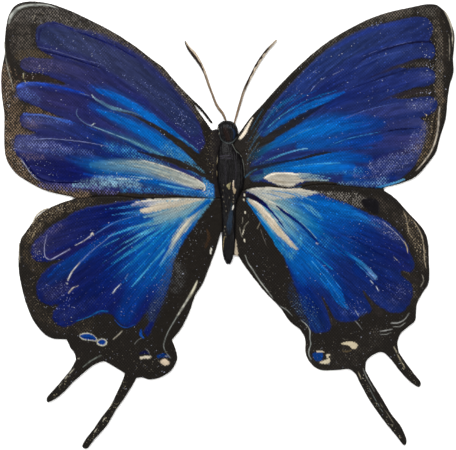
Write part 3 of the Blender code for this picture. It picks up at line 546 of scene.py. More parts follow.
    # The margin's outer ridge: a painted highlight on its rim, with painted shade lines inside it
    face.thin([(4.4, 11.5, 1.4), (5.6, 8, 2.2), (8.4, 4.8, 2.4), (12.5, 3, 1.8), (18, 2.5, 1.5),
        (24, 2.7, 1.2), (29, 4.2, 0.5)], (186, 188, 180), dry=(0.15, 0.35))
    face.stroke([(5.8, 10.6, 0.9), (8.6, 6.4, 1), (13, 4.4, 0.9), (19, 3.9, 0.7), (26, 4.2, 0.5)],
        (48, 44, 38), dry=(0.1, 0.3), rise=-0.1)
    face.thin([(2.2, 20, 0.6), (2.6, 26, 0.7), (3.4, 32, 0.9), (4.6, 37, 0.9), (5.8, 41, 0.7),
        (6.6, 45, 0.4)], (160, 156, 142), dry=(0.3, 0.3))
    face.stroke([(3.6, 18, 2), (4.4, 26, 2.4), (6, 34, 2.4), (8, 40, 1.6)], (40, 36, 32), dry=(0.2, 0.3),
        soft=0.6)
    face.thin([(17.6, 7.4, 0.6), (16.4, 10, 0.6)], (168, 160, 144), dry=(0.2, 0.3))
    face.thin([(12.6, 24.4, 0.5), (15, 24.2, 0.6)], (60, 54, 50), dry=(0.2, 0.2))
    for points in ([(11.8, 36.6, 0.8), (11.6, 39, 1)], [(12.4, 40.4, 0.8), (13, 41.4, 0.6)]):
        face.thin(points, (188, 178, 140), dry=(0, 0))


def paint_right_forewing(face):
    # Weave that shows through the dark margin
    face.catch([(132, 49, 3), (145, 35.6, 4), (160, 24.6, 4), (175, 15.8, 5), (190, 9.2, 6), (205, 5.6, 6),
        (217, 6, 7)], (98, 92, 84), amount=0.58, patchy=0.9)
    face.catch([(193, 7, 5), (203, 5, 6)], (118, 108, 98), amount=0.6)
    face.catch([(219, 12, 7), (221, 26, 6), (219.6, 40, 5), (219.6, 50, 5)], (114, 104, 92), amount=0.78)
    face.catch([(219.6, 44, 5), (220.4, 52, 5), (217, 62, 6), (214.6, 72, 6), (209, 80, 6)], (126, 108, 86),
        amount=0.52)
    face.catch([(213, 32, 4), (205, 31.6, 4), (198, 33, 3)], (104, 96, 92), amount=0.6)
    face.catch([(214, 46, 4), (204, 47, 4), (196, 49, 3)], (96, 86, 84))
    face.wash([(123.5, 86), (124.5, 76), (128.5, 66), (132, 58), (138, 50.2), (145, 42.4), (152, 35.2),
        (159, 28.4), (166, 22.8), (174, 18), (183, 14), (192, 11.6), (200, 9.8), (208, 8.4), (213.6, 9.2),
        (216.4, 12.8), (216, 17.6), (214.6, 20.2), (217, 22.6), (217.6, 26.4), (216.2, 29.4), (212, 29),
        (207, 29.8), (203, 31.6), (200, 33.4), (204, 34.2), (208, 33.8), (214.5, 34), (217.6, 37),
        (217, 41), (213.6, 43), (208, 43.8), (202, 45.6), (196, 48.4), (201, 49.4), (208, 48.8),
        (215.6, 48.4), (218.6, 51), (218, 55), (214, 57.6), (210, 59), (213, 61.5), (212.5, 69),
        (210.5, 76), (207, 83), (200, 89.6), (193, 93.4), (186, 94), (178, 93), (168, 91.6), (156, 90.4),
        (148, 93), (140, 93), (132, 91), (126, 90.6)], (34, 46, 100), rise=0.34, lip=0.08, ragged=0.35,
        field=True)
    # Fingers, each drawn in from the margin
    face.glaze([(212, 13.4, 9), (198, 15.6, 11), (182, 20.8, 12), (166, 29, 13), (150, 41.4, 13),
        (138, 54, 9), (130, 66, 5)], (34, 46, 96), (38, 50, 98), (38, 52, 96), (34, 50, 104), (32, 50, 106),
        (30, 50, 104), cover=0.9, soft=0.4)
    face.glaze([(214, 10.6, 2.4), (202, 11.4, 2.6), (190, 13.8, 3), (178, 18.2, 3), (166, 25, 2.4)],
        (36, 48, 100), (36, 52, 118), (40, 58, 134), (42, 58, 126), soft=0.8)
    face.glaze([(214, 18.4, 3.4), (204, 20.2, 3.4), (194, 22.4, 3), (184, 25.4, 2.4), (172, 31, 1.6)],
        (34, 44, 96), (42, 58, 122), (40, 56, 120), (44, 60, 124), soft=0.8)
    face.stroke([(215.4, 20.8, 1.6), (208, 21.2, 1.4), (200, 22.4, 1.4), (192, 25.2, 1.4), (184, 28.6, 1),
        (176, 32.6, 0.6)], (24, 26, 58), (22, 26, 62), (26, 32, 78), soft=0.5, dry=(0, 0.4), rise=-0.1)
    face.glaze([(214, 25, 5), (202, 26.4, 7), (190, 30, 8), (176, 37, 9), (160, 46.6, 8), (150, 52, 5)],
        (40, 50, 98), (40, 56, 112), (38, 52, 110), (28, 40, 98), (28, 42, 104), cover=0.9, soft=0.5)
    face.stroke([(207, 30.6, 2.6), (199, 33, 3), (191, 36.4, 2), (182, 40, 1)], (48, 44, 48), (44, 42, 54),
        (34, 38, 74), (26, 34, 84), soft=0.8, dry=(0.2, 0.4))
    face.glaze([(214, 38.2, 6), (204, 39.4, 7), (192, 42.4, 8), (178, 47, 8), (164, 52.6, 5)],
        (48, 58, 116), (36, 48, 106), (34, 46, 104), (28, 40, 100), (24, 42, 106), cover=0.9, soft=0.5)
    face.stroke([(207, 33.6, 1), (198, 36.4, 1.2), (188, 39.8, 1.2), (178, 43.6, 1), (170, 46.8, 0.6)],
        (22, 26, 56), (24, 30, 72), (24, 34, 86), soft=0.6, dry=(0.3, 0.3), rise=-0.08)
    face.stroke([(188, 51, 1), (196, 48.6, 2.6), (204, 46.4, 3.4), (211, 45.4, 3)], (34, 40, 88),
        (42, 42, 70), (50, 44, 48), (50, 44, 44), dry=(0.4, 0.2), soft=0.8)
    face.glaze([(214, 52.8, 6), (202, 54, 8), (188, 56.8, 8), (174, 60.6, 6)], (56, 64, 116), (48, 56, 110),
        (44, 52, 106), (30, 48, 108), cover=0.9, soft=0.5)
    face.glaze([(212, 60.6, 5), (200, 62, 6), (188, 63.6, 6)], (60, 66, 116), (46, 52, 102), (36, 46, 102),
        soft=0.6)
    face.glaze([(208, 70.4, 8), (198, 70.6, 9), (188, 71.6, 8), (178, 73, 5)], (54, 54, 104), (48, 52, 104),
        (38, 48, 104), (18, 50, 116), cover=0.85, soft=0.6)
    face.glaze([(209, 73.6, 4), (200, 76.4, 5), (190, 78.6, 4.6), (180, 80.4, 3)], (58, 48, 66),
        (34, 34, 76), (26, 32, 84), (18, 40, 104), cover=0.85, soft=0.7)
    face.glaze([(208, 79, 8), (198, 84, 11), (186, 87.6, 12), (174, 88.4, 8)], (44, 52, 100), (38, 48, 98),
        (26, 42, 102), (10, 66, 138), cover=0.9, soft=0.6)
    face.glaze([(196, 88.6, 7), (186, 91, 6), (176, 90.6, 4)], (18, 44, 116), (10, 48, 122), (20, 60, 128),
        cover=0.7, soft=0.8)
    # Speckle: the threads that caught paler paint
    face.catch([(216, 38, 5), (211, 37.4, 4)], (90, 100, 150), amount=0.35)
    face.catch([(216, 50.6, 4), (211, 52.4, 6), (205, 52.6, 5)], (104, 112, 160), amount=0.4)
    face.catch([(213, 62, 5), (211, 70, 6), (207, 78, 6)], (112, 106, 116), amount=0.45)
    face.catch([(209, 68, 8), (204, 77, 10), (196, 82, 12), (186, 86, 10), (178, 87, 6)], (96, 104, 156),
        amount=0.36)
    face.catch([(186, 84, 7), (196, 80, 6), (190, 90, 5)], (110, 120, 170), amount=0.3)
    # Azure
    face.glaze([(170, 46.6, 2), (164, 49.2, 4), (156, 52.8, 6), (148, 56.8, 7), (140, 62, 7), (133, 68, 6)],
        (20, 64, 136), (8, 84, 162), (4, 84, 160), (10, 72, 140), (26, 66, 118), soft=0.8, streak=0.25,
        hair=0.6)
    face.stroke([(172, 46, 1.2), (165, 49, 3), (157, 52.4, 4.6), (149, 56.4, 4.4), (141, 61.2, 3.4),
        (133, 66.8, 2.4)], (8, 70, 150), (0, 98, 180), (0, 94, 174), (4, 82, 154), (34, 74, 118),
        dry=(0.25, 0.35), soft=0.6, streak=0.3, rise=0.08)
    face.stroke([(152, 47.6, 1.2), (145, 49.6, 3.2), (140, 52.6, 3.6), (136, 57, 2)], (16, 60, 128),
        (24, 100, 156), (20, 80, 136), dry=(0.4, 0.5), soft=0.8)
    for points, paint in (
        ([(168, 45.4, 0.6), (160, 47.8, 1.6), (152, 51, 1.8), (144, 55.4, 1.2)], (16, 96, 166)),
        ([(158, 45.4, 0.6), (151, 48.6, 1.4), (144, 53, 1.4), (137, 59, 1)], (8, 70, 144)),
        ([(150, 45.6, 0.6), (144, 49.6, 1.2), (138, 55, 1.2), (132, 61.6, 0.8)], (24, 92, 140)),
        ([(148, 53.4, 0.6), (141, 57.6, 1), (134, 63.6, 0.8)], (60, 132, 170)),
        ([(162, 50.2, 0.5), (154, 53.6, 0.9), (146, 58, 0.7)], (30, 116, 184)),
        ([(166, 49.6, 0.5), (158, 52, 1), (149, 55.6, 0.8)], (4, 60, 134)),
        ([(142, 53, 0.5), (136, 59.4, 0.9), (131, 65.6, 0.7)], (20, 48, 76)),
    ):
        face.stroke(points, paint, dry=(0.35, 0.4), hair=0.35, soft=0.9)
    face.glaze([(128, 76, 4), (138, 71, 9), (150, 66.4, 14), (164, 63.4, 17), (178, 62.4, 15),
        (190, 61.6, 8)], (30, 92, 148), (6, 84, 158), (0, 90, 170), (2, 84, 164), (8, 68, 148),
        (20, 54, 124), cover=0.95, soft=0.7, streak=0.16)
    face.stroke([(144, 69.6, 3), (154, 66, 7), (166, 64, 8), (178, 62.6, 6), (188, 60.6, 3)], (0, 94, 176),
        (0, 100, 182), (0, 94, 176), (6, 78, 156), (24, 60, 136), dry=(0.2, 0.4), soft=0.8, streak=0.2,
        rise=0.08)
    face.glaze([(150, 73.4, 6), (164, 71.8, 8), (178, 70.6, 8), (190, 69, 5)], (4, 84, 162), (6, 78, 156),
        (6, 60, 138), (12, 52, 126), cover=0.85, soft=0.7)
    face.glaze([(132, 84, 3), (144, 82, 5), (158, 79.4, 7), (172, 78.6, 8), (184, 79.4, 6)], (30, 100, 156),
        (8, 88, 162), (4, 88, 166), (4, 80, 156), (12, 58, 132), cover=0.95, soft=0.7, streak=0.16)
    face.glaze([(150, 84.6, 6), (162, 84.4, 8), (174, 84.6, 8), (184, 85.6, 6)], (20, 98, 164),
        (4, 88, 166), (8, 70, 148), (10, 52, 126), cover=0.9, soft=0.8)
    face.catch([(160, 86.6, 4), (170, 85.4, 4), (180, 85.6, 5)], (70, 144, 196), amount=0.35)
    # Dark veins and root
    face.wash([(118, 64), (124, 62), (128, 63.6), (130, 67.6), (133, 70), (130.4, 73.6), (127, 77.4),
        (125.6, 82), (126, 86.4), (124, 92.5), (118, 92.5), (117, 75)], (44, 41, 38), soft=0.9, ragged=1.2)
    face.stroke([(164, 51.6, 0.8), (158, 54.4, 2.6), (152, 58, 4.8), (146, 61.8, 5.2), (138, 66.8, 5.2),
        (130, 72.4, 6), (122, 78, 8)], (24, 34, 78), (28, 34, 58), (38, 38, 42), (38, 37, 40), (44, 41, 38),
        (44, 41, 38), streak=0.35, soft=0.5, dry=(0.35, 0), rise=-0.05)
    face.glaze([(124, 80.6, 5), (129, 77, 6), (134, 73.6, 4), (139, 70.6, 2)], (44, 44, 44), (28, 62, 86),
        (24, 84, 130), (20, 86, 150), cover=0.9, soft=0.7)
    face.glaze([(126, 84.4, 4), (134, 82.8, 4), (142, 81.4, 2)], (40, 44, 52), (28, 60, 96), (20, 60, 116),
        cover=0.85, soft=0.6)
    face.glaze([(133, 86.2, 4), (141, 85, 5), (152, 84.4, 6), (164, 83.6, 7), (176, 83.4, 5)],
        (34, 96, 140), (8, 90, 160), (0, 104, 186), (0, 102, 184), (4, 78, 160), cover=0.95, soft=0.6)
    face.glaze([(148, 80.6, 2.6), (158, 79, 4), (170, 77.8, 5), (180, 78.4, 3)], (0, 92, 172), (0, 90, 170),
        (2, 80, 160), (10, 60, 136), cover=0.9, soft=0.7)
    face.stroke([(176, 75.4, 0.4), (168, 75.8, 0.8), (162, 76.6, 1.4), (156, 77.8, 1.8), (151, 79.2, 1.6),
        (144, 80.6, 1.4), (136, 82.2, 2), (128, 84.4, 3), (122, 87, 5)], (12, 50, 120), (32, 38, 48),
        (36, 36, 42), (26, 40, 70), (34, 40, 56), (44, 41, 38), streak=0.3, soft=0.4, dry=(0.4, 0.05),
        rise=-0.05)
    face.glaze([(123, 68, 6), (128, 62, 6), (134, 55, 5)], (44, 44, 48), (40, 50, 72), (36, 60, 100),
        cover=0.6, soft=0.9, streak=0.3, hair=0.5)
    # Fine blue lines over the dark root
    for points in (
        [(130.4, 60.4, 0.4), (127.4, 65.2, 0.5), (124, 71, 0.4)],
        [(136.4, 55.2, 0.4), (132, 61.4, 0.5), (128.4, 67, 0.4)],
        [(129.6, 71.4, 0.4), (126.4, 75.6, 0.5), (123.6, 80.4, 0.4)],
        [(131.2, 78.6, 0.4), (127.6, 81.2, 0.6), (123.8, 84.4, 0.5)],
        [(131, 65.6, 0.5), (127.6, 70, 0.7), (124.6, 74.8, 0.5)],
        [(133.5, 60, 0.4), (129.4, 65.6, 0.5), (126.6, 70, 0.4)],
        [(131.5, 54.6, 0.4), (128.4, 59.6, 0.5), (125.6, 64.6, 0.4)],
        [(128.6, 84.4, 0.6), (125, 86.4, 1), (122.6, 88.6, 0.9)],
        [(138, 53, 0.5), (134, 58, 0.6), (130.6, 64, 0.5)],
    ):
        face.thin(points, (66, 120, 156), dry=(0.3, 0.45), rise=0)
    # Pale lines drawn through the azure
    face.thin([(158, 63.6, 0.5), (151, 66, 0.7), (145, 69, 0.7), (140, 72, 0.5)], (50, 128, 188),
        dry=(0.3, 0.35), rise=0.06)
    face.stroke([(153.6, 74.2, 0.6), (148, 75.2, 0.9), (141, 77.4, 1.2), (135, 79.8, 1.4),
        (130, 81.8, 1.2)], (110, 164, 192), (60, 120, 166), (66, 130, 162), (80, 130, 150),
        dry=(0.25, 0.45), soft=0.7, rise=0.06)
    face.thin([(190, 66, 0.5), (181, 67.8, 0.9), (172, 70, 0.9), (165, 72.8, 0.6)], (50, 120, 186),
        dry=(0.45, 0.45), rise=0.08)
    face.stroke([(210, 64.2, 0.6), (202, 64.4, 0.9), (194, 65.6, 0.7)], (22, 26, 62), dry=(0.2, 0.3))
    face.thin([(200, 51.4, 0.4), (190, 53.4, 0.6), (180, 56.2, 0.7), (172, 59.6, 0.5)], (74, 94, 164),
        dry=(0.3, 0.35), rise=0.06)
    face.thin([(208, 20.4, 0.5), (200, 22, 0.6), (190, 24.8, 0.5), (180, 28.8, 0.5)], (84, 94, 150),
        dry=(0.4, 0.5), rise=0.06)
    face.thin([(163, 38.4, 0.3), (160, 40.6, 0.5), (157, 43.4, 0.5), (155, 46, 0.3)], (130, 146, 196),
        dry=(0.5, 0.5), rise=0.1)
    face.thin([(172, 34.6, 0.3), (166, 37.6, 0.4)], (130, 140, 190), dry=(0.5, 0.5), rise=0.08)
    for points, paint in (
        ([(206, 24.6, 0.8), (194, 27.4, 1), (182, 32, 1), (170, 38.6, 0.7)], (58, 74, 138)),
        ([(196, 38, 0.8), (184, 42, 1), (172, 46.2, 0.8), (160, 50.6, 0.5)], (50, 66, 130)),
        ([(204, 41.6, 0.8), (192, 45.6, 0.9), (180, 49.8, 0.7)], (20, 30, 84)),
        ([(196, 17, 0.9), (184, 21.6, 1), (170, 29, 0.9), (156, 39.6, 0.7)], (28, 42, 92)),
        ([(188, 30.4, 0.9), (176, 36, 1), (164, 43.2, 0.8)], (22, 34, 88)),
        ([(160, 33, 0.9), (150, 42.4, 1), (141, 51.8, 0.8)], (44, 62, 120)),
        ([(182, 23.6, 0.8), (170, 30.4, 0.9), (158, 40, 0.8), (147, 50.6, 0.6)], (50, 66, 124)),
        ([(196, 59.4, 0.9), (186, 61.2, 1), (176, 64, 0.7)], (28, 46, 112)),
        ([(186, 73.6, 0.8), (174, 75.4, 1), (164, 77.6, 0.7)], (4, 70, 148)),
        ([(170, 81.6, 0.8), (158, 82, 1), (146, 83.4, 0.8)], (60, 140, 190)),
    ):
        face.stroke(points, paint, soft=0.9, dry=(0.3, 0.45), cover=0.8, streak=0.4)
    # The cream stroke by the root
    face.glaze([(124, 90, 4), (130, 88.6, 4), (135, 86.6, 2)], (44, 60, 70), (50, 92, 116), (40, 100, 140),
        soft=0.8, streak=0.3)
    face.stroke([(144, 88.4, 3.4), (152, 88, 4), (159, 88.6, 2.8), (165, 89.4, 1.4)], (180, 182, 172),
        (130, 160, 172), (70, 134, 176), dry=(0.25, 0.6), streak=0.4, hair=0.35)
    face.stroke([(148, 90.6, 1.4), (156, 89.8, 1.4), (164, 90.2, 1)], (150, 148, 140), (120, 150, 160),
        dry=(0.2, 0.5), streak=0.4)
    face.wash([(131.8, 89), (135, 87), (139, 86.3), (143.6, 86.5), (147, 87.3), (150.6, 89.2),
        (152.2, 90.6), (149.4, 91.4), (147.4, 92.8), (145, 93.8), (142, 93.4), (138, 92.2), (134.5, 90.6)],
        (184, 178, 164), soft=0.25, ragged=0.45, rise=0.36, lip=0.06, mottle=0.06, even=0.8)
    face.stroke([(136, 90, 1.6), (142, 91.4, 2.6), (148, 91, 2)], (160, 148, 130), (152, 144, 128),
        (164, 160, 148), dry=(0.3, 0.4), soft=0.8, even=0.8)
    face.stroke([(132.4, 88.9, 0.8), (136, 87.2, 1.3), (142, 86.7, 1.4), (149, 87.4, 1.2)], (228, 218, 198),
        (220, 212, 194), (206, 202, 190), dry=(0, 0.15), soft=0.6, rise=0.1, even=0.8)
    # Black at the lower edge, a touch of blue in it, and the azure line beyond it
    face.stroke([(147, 94.2, 1.6), (154, 92, 2), (164, 92, 2.6), (174, 93.4, 2.4), (182, 94.4, 1)],
        (46, 42, 38), (46, 42, 38), soft=0.5, dry=(0.1, 0.1))
    face.stroke([(143.6, 94.4, 0.8), (149, 94, 1.2), (153, 93.8, 0.8)], (20, 80, 150), (60, 120, 170),
        dry=(0.1, 0.2))
    face.catch([(170, 92.6, 4), (182, 92.4, 5), (192, 90.4, 5)], (110, 150, 190))
    face.stroke([(188, 93.8, 1), (195, 92.2, 1.3), (202, 89.6, 1)], (30, 104, 168), (70, 140, 190),
        (90, 150, 190), dry=(0.15, 0.3))
    # Bare canvas between the outline stroke and the wing
    face.wash([(126.7, 58.2), (124.8, 60.6), (122.6, 64), (120.6, 67.4), (119.2, 69.6), (120, 69.9),
        (121.8, 68.4), (123.6, 65.6), (125.2, 62)], (250, 236, 214), soft=0.15, ragged=0.15, mottle=0.04,
        even=0.9)
    face.brushed((88, 93))
    # Crumbs of dried paint
    face.sprinkle([(121, 74, 5), (126, 70, 5), (129, 74, 5), (124, 82, 6)], (120, 112, 90), 50, 0.14)
    face.sprinkle([(214, 8, 5), (217, 20, 4), (217, 40, 3), (216, 58, 4), (212, 74, 4)], (180, 166, 140),
        60, 0.17)
    face.sprinkle([(212, 24, 4), (215, 36, 4), (211, 50, 6), (205, 52, 5)], (190, 196, 220), 36, 0.2)
    face.sprinkle([(190, 11.6, 2.4), (186, 13.4, 3)], (150, 164, 206), 12, 0.18)
    face.sprinkle([(134, 60, 5), (140, 50, 5), (150, 40, 6), (162, 31, 8)], (130, 146, 190), 40, 0.15)
    face.sprinkle([(208, 68, 8), (202, 78, 11), (190, 84, 12), (178, 87, 8)], (170, 178, 220), 110, 0.15)
    face.sprinkle([(124, 72, 8), (128, 80, 8)], (130, 130, 120), 30, 0.15)
    face.sprinkle([(213, 58, 3), (212.4, 61, 3)], (200, 180, 146), 10, 0.2)
    # The margin's ridges: pale painted highlights along them, with painted shade lines beside them
    face.thin([(219.8, 53.4, 0.6), (219.4, 58, 1.2), (219, 64, 1.4), (217.8, 70, 1.3), (215.4, 76, 1.1),
        (211.6, 81.4, 1), (208, 85.4, 0.6)], (206, 194, 176), dry=(0.1, 0.35))
    face.stroke([(217.6, 58, 1), (216.8, 66, 1), (214.6, 73, 0.8)], (40, 36, 30), dry=(0.2, 0.3),
        rise=-0.08)
    face.thin([(221.6, 4.6, 0.8), (224, 8.6, 1.4), (225.6, 13, 1.4), (226.2, 18, 1.2), (226.2, 23, 0.9)],
        (196, 188, 170), dry=(0.1, 0.4))
    face.thin([(224.4, 17, 0.6), (224.8, 24, 0.9), (224.6, 30, 0.8)], (140, 132, 118), dry=(0.3, 0.5))
    face.stroke([(218.6, 6, 2), (221.6, 14, 3), (222.6, 26, 3), (222.4, 38, 2)], (44, 40, 36),
        dry=(0.2, 0.3), soft=0.8)


def paint_left_hindwing(face):
    # Weave that shows through the dark margin
    face.catch([(14, 120, 9), (19, 112, 9), (27, 105.6, 9), (36, 102.6, 7), (48, 100.6, 4)], (108, 94, 76),
        amount=0.42, patchy=1)
    face.catch([(12, 127, 6), (16, 131, 8), (20, 134.6, 7)], (96, 82, 64), amount=0.3, patchy=1)
    face.catch([(14, 140, 6), (14, 150, 6), (20, 158, 8), (30, 163, 9), (44, 163, 9)], (90, 80, 68),
        amount=0.22, patchy=1)
    face.wash([(107.5, 98.6), (95, 99.4), (80, 99.7), (66, 100.2), (55, 101.6), (45, 103.4), (38, 105.8),
        (32, 109.6), (26, 112.8), (22, 116.6), (17.6, 120.4), (15.6, 124.8), (16.4, 129.2), (20.4, 131),
        (26, 130.4), (31, 129.8), (26, 132.6), (21.6, 136.4), (18.6, 141.4), (18.2, 146.6), (20, 150.6),
        (24.6, 152.6), (29, 152.4), (27.2, 155.4), (26, 158.4), (28, 161.6), (32, 163.6), (35.4, 162.8),
        (40, 160), (45.6, 158.2), (50, 157.2), (54.2, 156.8), (57.6, 159), (60.6, 162.4), (64, 163.8),
        (67.8, 162.6), (70.6, 159.6), (73.6, 156), (74.6, 160.4), (72, 166), (73.6, 168.6), (77.4, 161),
        (81, 152), (84.2, 144), (85.8, 138), (86.8, 131.6), (88.8, 126.4), (92, 120.4), (96.6, 114),
        (101, 108), (104.6, 103.2), (107, 100)], (22, 32, 92), rise=0.34, lip=0.08, ragged=0.6, mottle=0.12,
        field=True)
    # Cells of the outer half
    face.glaze([(20, 124, 9), (28, 119, 13), (40, 113, 14), (54, 107.6, 12), (68, 104, 8)], (40, 42, 84),
        (32, 36, 84), (24, 32, 88), (16, 26, 86), (14, 30, 92), cover=0.9, soft=0.5, streak=0.16)
    face.glaze([(24, 128, 4), (34, 126, 6), (46, 120.6, 6)], (40, 36, 80), (30, 28, 80), (22, 26, 84),
        soft=0.8)
    face.glaze([(22, 142, 10), (32, 135, 11), (44, 127, 10), (56, 119.4, 8)], (26, 36, 88), (18, 48, 110),
        (10, 54, 128), (10, 44, 112), cover=0.9, soft=0.6)
    face.stroke([(24, 138, 2), (32, 131.6, 4), (42, 125.4, 5), (52, 118.6, 3)], (14, 52, 124), (8, 62, 138),
        (8, 52, 126), dry=(0.4, 0.3), soft=0.8)
    face.glaze([(24, 148, 8), (34, 142, 10), (44, 134, 9), (54, 126.4, 8)], (34, 36, 78), (26, 30, 80),
        (20, 30, 86), (14, 34, 100), cover=0.85, soft=0.6)
    face.glaze([(33, 158, 11), (42, 150, 12), (52, 140, 11), (60, 130, 8)], (26, 34, 88), (18, 28, 82),
        (16, 32, 94), (12, 42, 112), cover=0.85, soft=0.6)
    face.glaze([(62, 158, 12), (67, 148, 13), (73, 137, 12), (79, 127, 8)], (14, 48, 118), (8, 50, 124),
        (6, 62, 138), (8, 72, 146), cover=0.9, soft=0.6, streak=0.2)
    face.glaze([(76, 158, 8), (80, 147, 7), (84, 138, 5)], (32, 38, 66), (24, 40, 86), (16, 44, 102),
        cover=0.9, soft=0.8)
    # Rays of colour from the root
    face.fan((107, 99), [(90, 4, 10, 18), (98, 12, 24, 36), (104, 22, 34, 44), (110, 24, 38, 50),
        (116, 20, 42, 54), (122, 16, 46, 60), (128, 13, 50, 63), (134, 14, 52, 66), (140, 16, 52, 66),
        (146, 22, 46, 58), (151, 28, 40, 50), (156, 30, 38, 48), (161, 32, 40, 54), (166, 34, 40, 50),
        (171, 34, 38, 46), (176, 34, 37, 42), (181, 34, 36, 40)], (84, 142, 168), (6, 84, 158),
        (8, 54, 130), streak=0.26, dry=0.08)
    face.glaze([(70, 136, 5), (78, 126.6, 9), (85, 117, 9), (90, 110, 5)], (8, 80, 152), (4, 86, 160),
        (4, 86, 160), (30, 104, 164), soft=0.8, streak=0.25, hair=0.5)
    for points, paint in (
        ([(50, 132.6, 0.6), (60, 125.6, 1), (72, 117.6, 1.2), (84, 110.4, 1)], (60, 132, 172)),
        ([(53, 135, 0.6), (63, 127.8, 1), (74, 119.6, 1), (85, 111.4, 0.9)], (4, 64, 140)),
        ([(57, 138.6, 0.6), (66, 130.6, 1), (77, 120.6, 1), (87, 111.8, 0.9)], (50, 122, 170)),
        ([(61, 141.6, 0.6), (70, 132, 1), (80, 121.2, 1), (89, 112.4, 0.9)], (4, 74, 150)),
        ([(68, 142, 0.6), (76, 131.6, 1), (84, 121.6, 1), (91, 113.4, 0.9)], (50, 126, 172)),
        ([(52, 128, 0.6), (62, 121.6, 1), (73, 114.8, 1), (85, 108.4, 0.9)], (10, 80, 152)),
        ([(50, 124, 0.6), (60, 119, 0.9), (72, 112.8, 0.9), (84, 107.6, 0.8)], (60, 128, 172)),
        ([(56, 132, 1), (66, 125.4, 3), (76, 118.4, 3.4), (84, 112.4, 2.6)], (40, 124, 170)),
        ([(60, 137, 1), (69, 128.6, 2.6), (78, 120, 2.6), (86, 112.6, 2)], (20, 104, 164)),
        ([(62, 141.6, 0.8), (70, 133.6, 1.8), (79, 124, 2.2), (87, 115, 1.6)], (30, 112, 168)),
        ([(66, 143.4, 0.8), (74, 134, 1.6), (82, 125, 1.6)], (60, 140, 180)),
        ([(54, 118.4, 0.8), (62, 115.6, 2.2), (72, 112.4, 2.6), (82, 108.4, 2)], (50, 128, 172)),
        ([(60, 122.6, 0.8), (68, 118.2, 2), (77, 113.6, 2.2)], (70, 140, 172)),
        ([(52, 104.8, 0.6), (58, 104.2, 1.4), (66, 103.2, 1.8)], (40, 104, 166)),
        ([(56, 107.6, 0.6), (62, 106.8, 1.4), (70, 106.2, 1.6)], (50, 116, 172)),
        ([(76, 140, 0.8), (81, 132.6, 1.4), (85.6, 125.6, 1.2)], (40, 124, 176)),
        ([(79, 142, 0.6), (83, 134, 1.2), (86, 128.6, 1)], (20, 96, 164)),
    ):
        face.stroke(points, paint, dry=(0.5, 0.35), streak=0.5, hair=0.3, soft=0.8)
    face.stroke([(50, 113.6, 1.2), (58, 111.6, 3), (66, 110, 3.4), (74, 108.6, 2)], (10, 40, 112),
        (8, 64, 140), (6, 70, 146), (8, 56, 130), dry=(0.4, 0.3), streak=0.3, soft=0.6)
    face.wash([(108, 99.6), (104.2, 103.2), (100.6, 108), (96, 115), (92, 121.2), (89, 127.4), (86.8, 135),
        (85.4, 142), (83.4, 150), (80.6, 157), (78, 162), (76, 168), (84, 180), (100, 142), (112, 110),
        (110, 99.6)], BLACK, soft=0.7, ragged=1.4, mottle=0.16)
    for points in (
        [(58, 128, 0.8), (68, 121.6, 1.2), (78, 115.4, 1)],
        [(60, 134.6, 0.8), (70, 125.4, 1.2), (80, 116.6, 1)],
        [(66, 138.6, 0.8), (75, 128.6, 1.2), (83, 119, 0.9)],
        [(70, 143, 0.8), (79, 131.6, 1.2), (85.6, 121, 0.9)],
    ):
        face.stroke(points, (6, 56, 134), dry=(0.4, 0.4), streak=0.4, hair=0.3, soft=0.8)
    # Cream by the body
    face.stroke([(66, 102.6, 1.2), (70, 101.8, 2.8), (76, 101.6, 3.6), (82, 101.2, 3.4)], (130, 140, 176),
        (140, 144, 172), (168, 168, 172), (176, 176, 168), dry=(0.3, 0.2), streak=0.2, rise=0.2, soft=0.4,
        even=0.6)
    face.glaze([(78, 109.6, 4), (88, 106.2, 7), (98, 102.4, 6)], (110, 146, 160), (140, 156, 156),
        (120, 150, 160), cover=0.85, soft=0.7, hair=0.4, streak=0.3)
    face.wash([(70, 104.8), (73.6, 103.6), (78, 102), (83, 100.8), (90, 100), (98, 99.6), (102.4, 99.4),
        (101, 100.6), (95, 102), (88, 103.6), (82, 105), (77, 106), (73, 106.8), (70.6, 106)],
        (190, 180, 160), soft=0.5, ragged=0.7, rise=0.24, even=0.8)
    face.stroke([(70.6, 105.2, 1.6), (76, 104.2, 2.6), (84, 102.2, 2.6), (92, 100.8, 1.6)], (204, 190, 168),
        (200, 188, 168), (190, 182, 166), (176, 174, 164), dry=(0.05, 0.3), streak=0.2, soft=0.6, rise=0.12,
        even=0.8)
    face.stroke([(68, 101, 1), (78, 100, 1.2), (90, 99.5, 1.1), (100, 99.3, 0.8)], (196, 190, 180),
        (204, 196, 180), (206, 198, 182), dry=(0.2, 0.2), soft=0.5, even=0.7)
    face.stroke([(72, 108.6, 1.6), (80, 107, 2.6), (90, 104.2, 3), (100, 101.2, 2)], (90, 136, 160),
        (130, 150, 156), (150, 160, 156), (110, 150, 164), dry=(0.4, 0.25), hair=0.3, soft=0.6, rise=0.1)
    face.stroke([(64, 113.8, 1.2), (72, 112.6, 2.4), (80, 110.8, 2.8), (90, 106.8, 2.4), (98, 103.4, 1.6)],
        (60, 116, 160), (96, 140, 158), (120, 150, 160), (100, 146, 166), dry=(0.5, 0.35), streak=0.5,
        hair=0.3, soft=0.6)
    face.stroke([(80, 132.6, 1), (84, 126.6, 2.8), (88, 119.4, 4.6), (92.4, 112.8, 5.6), (97, 107.4, 5),
        (101.4, 103.2, 2.6)], (50, 120, 170), (110, 146, 160), (156, 162, 156), (150, 162, 164),
        (120, 150, 166), (60, 116, 160), dry=(0.45, 0.25), streak=0.35, rise=0.2, hair=0.35, soft=0.5,
        even=0.4)
    face.stroke([(85.6, 124, 1), (89.4, 117.2, 2.2), (94.4, 110.4, 2.4), (99.6, 105, 1.4)], (140, 160, 166),
        (190, 184, 164), (192, 186, 168), (140, 160, 170), dry=(0.35, 0.25), streak=0.3, soft=0.6,
        rise=0.12, even=0.7)
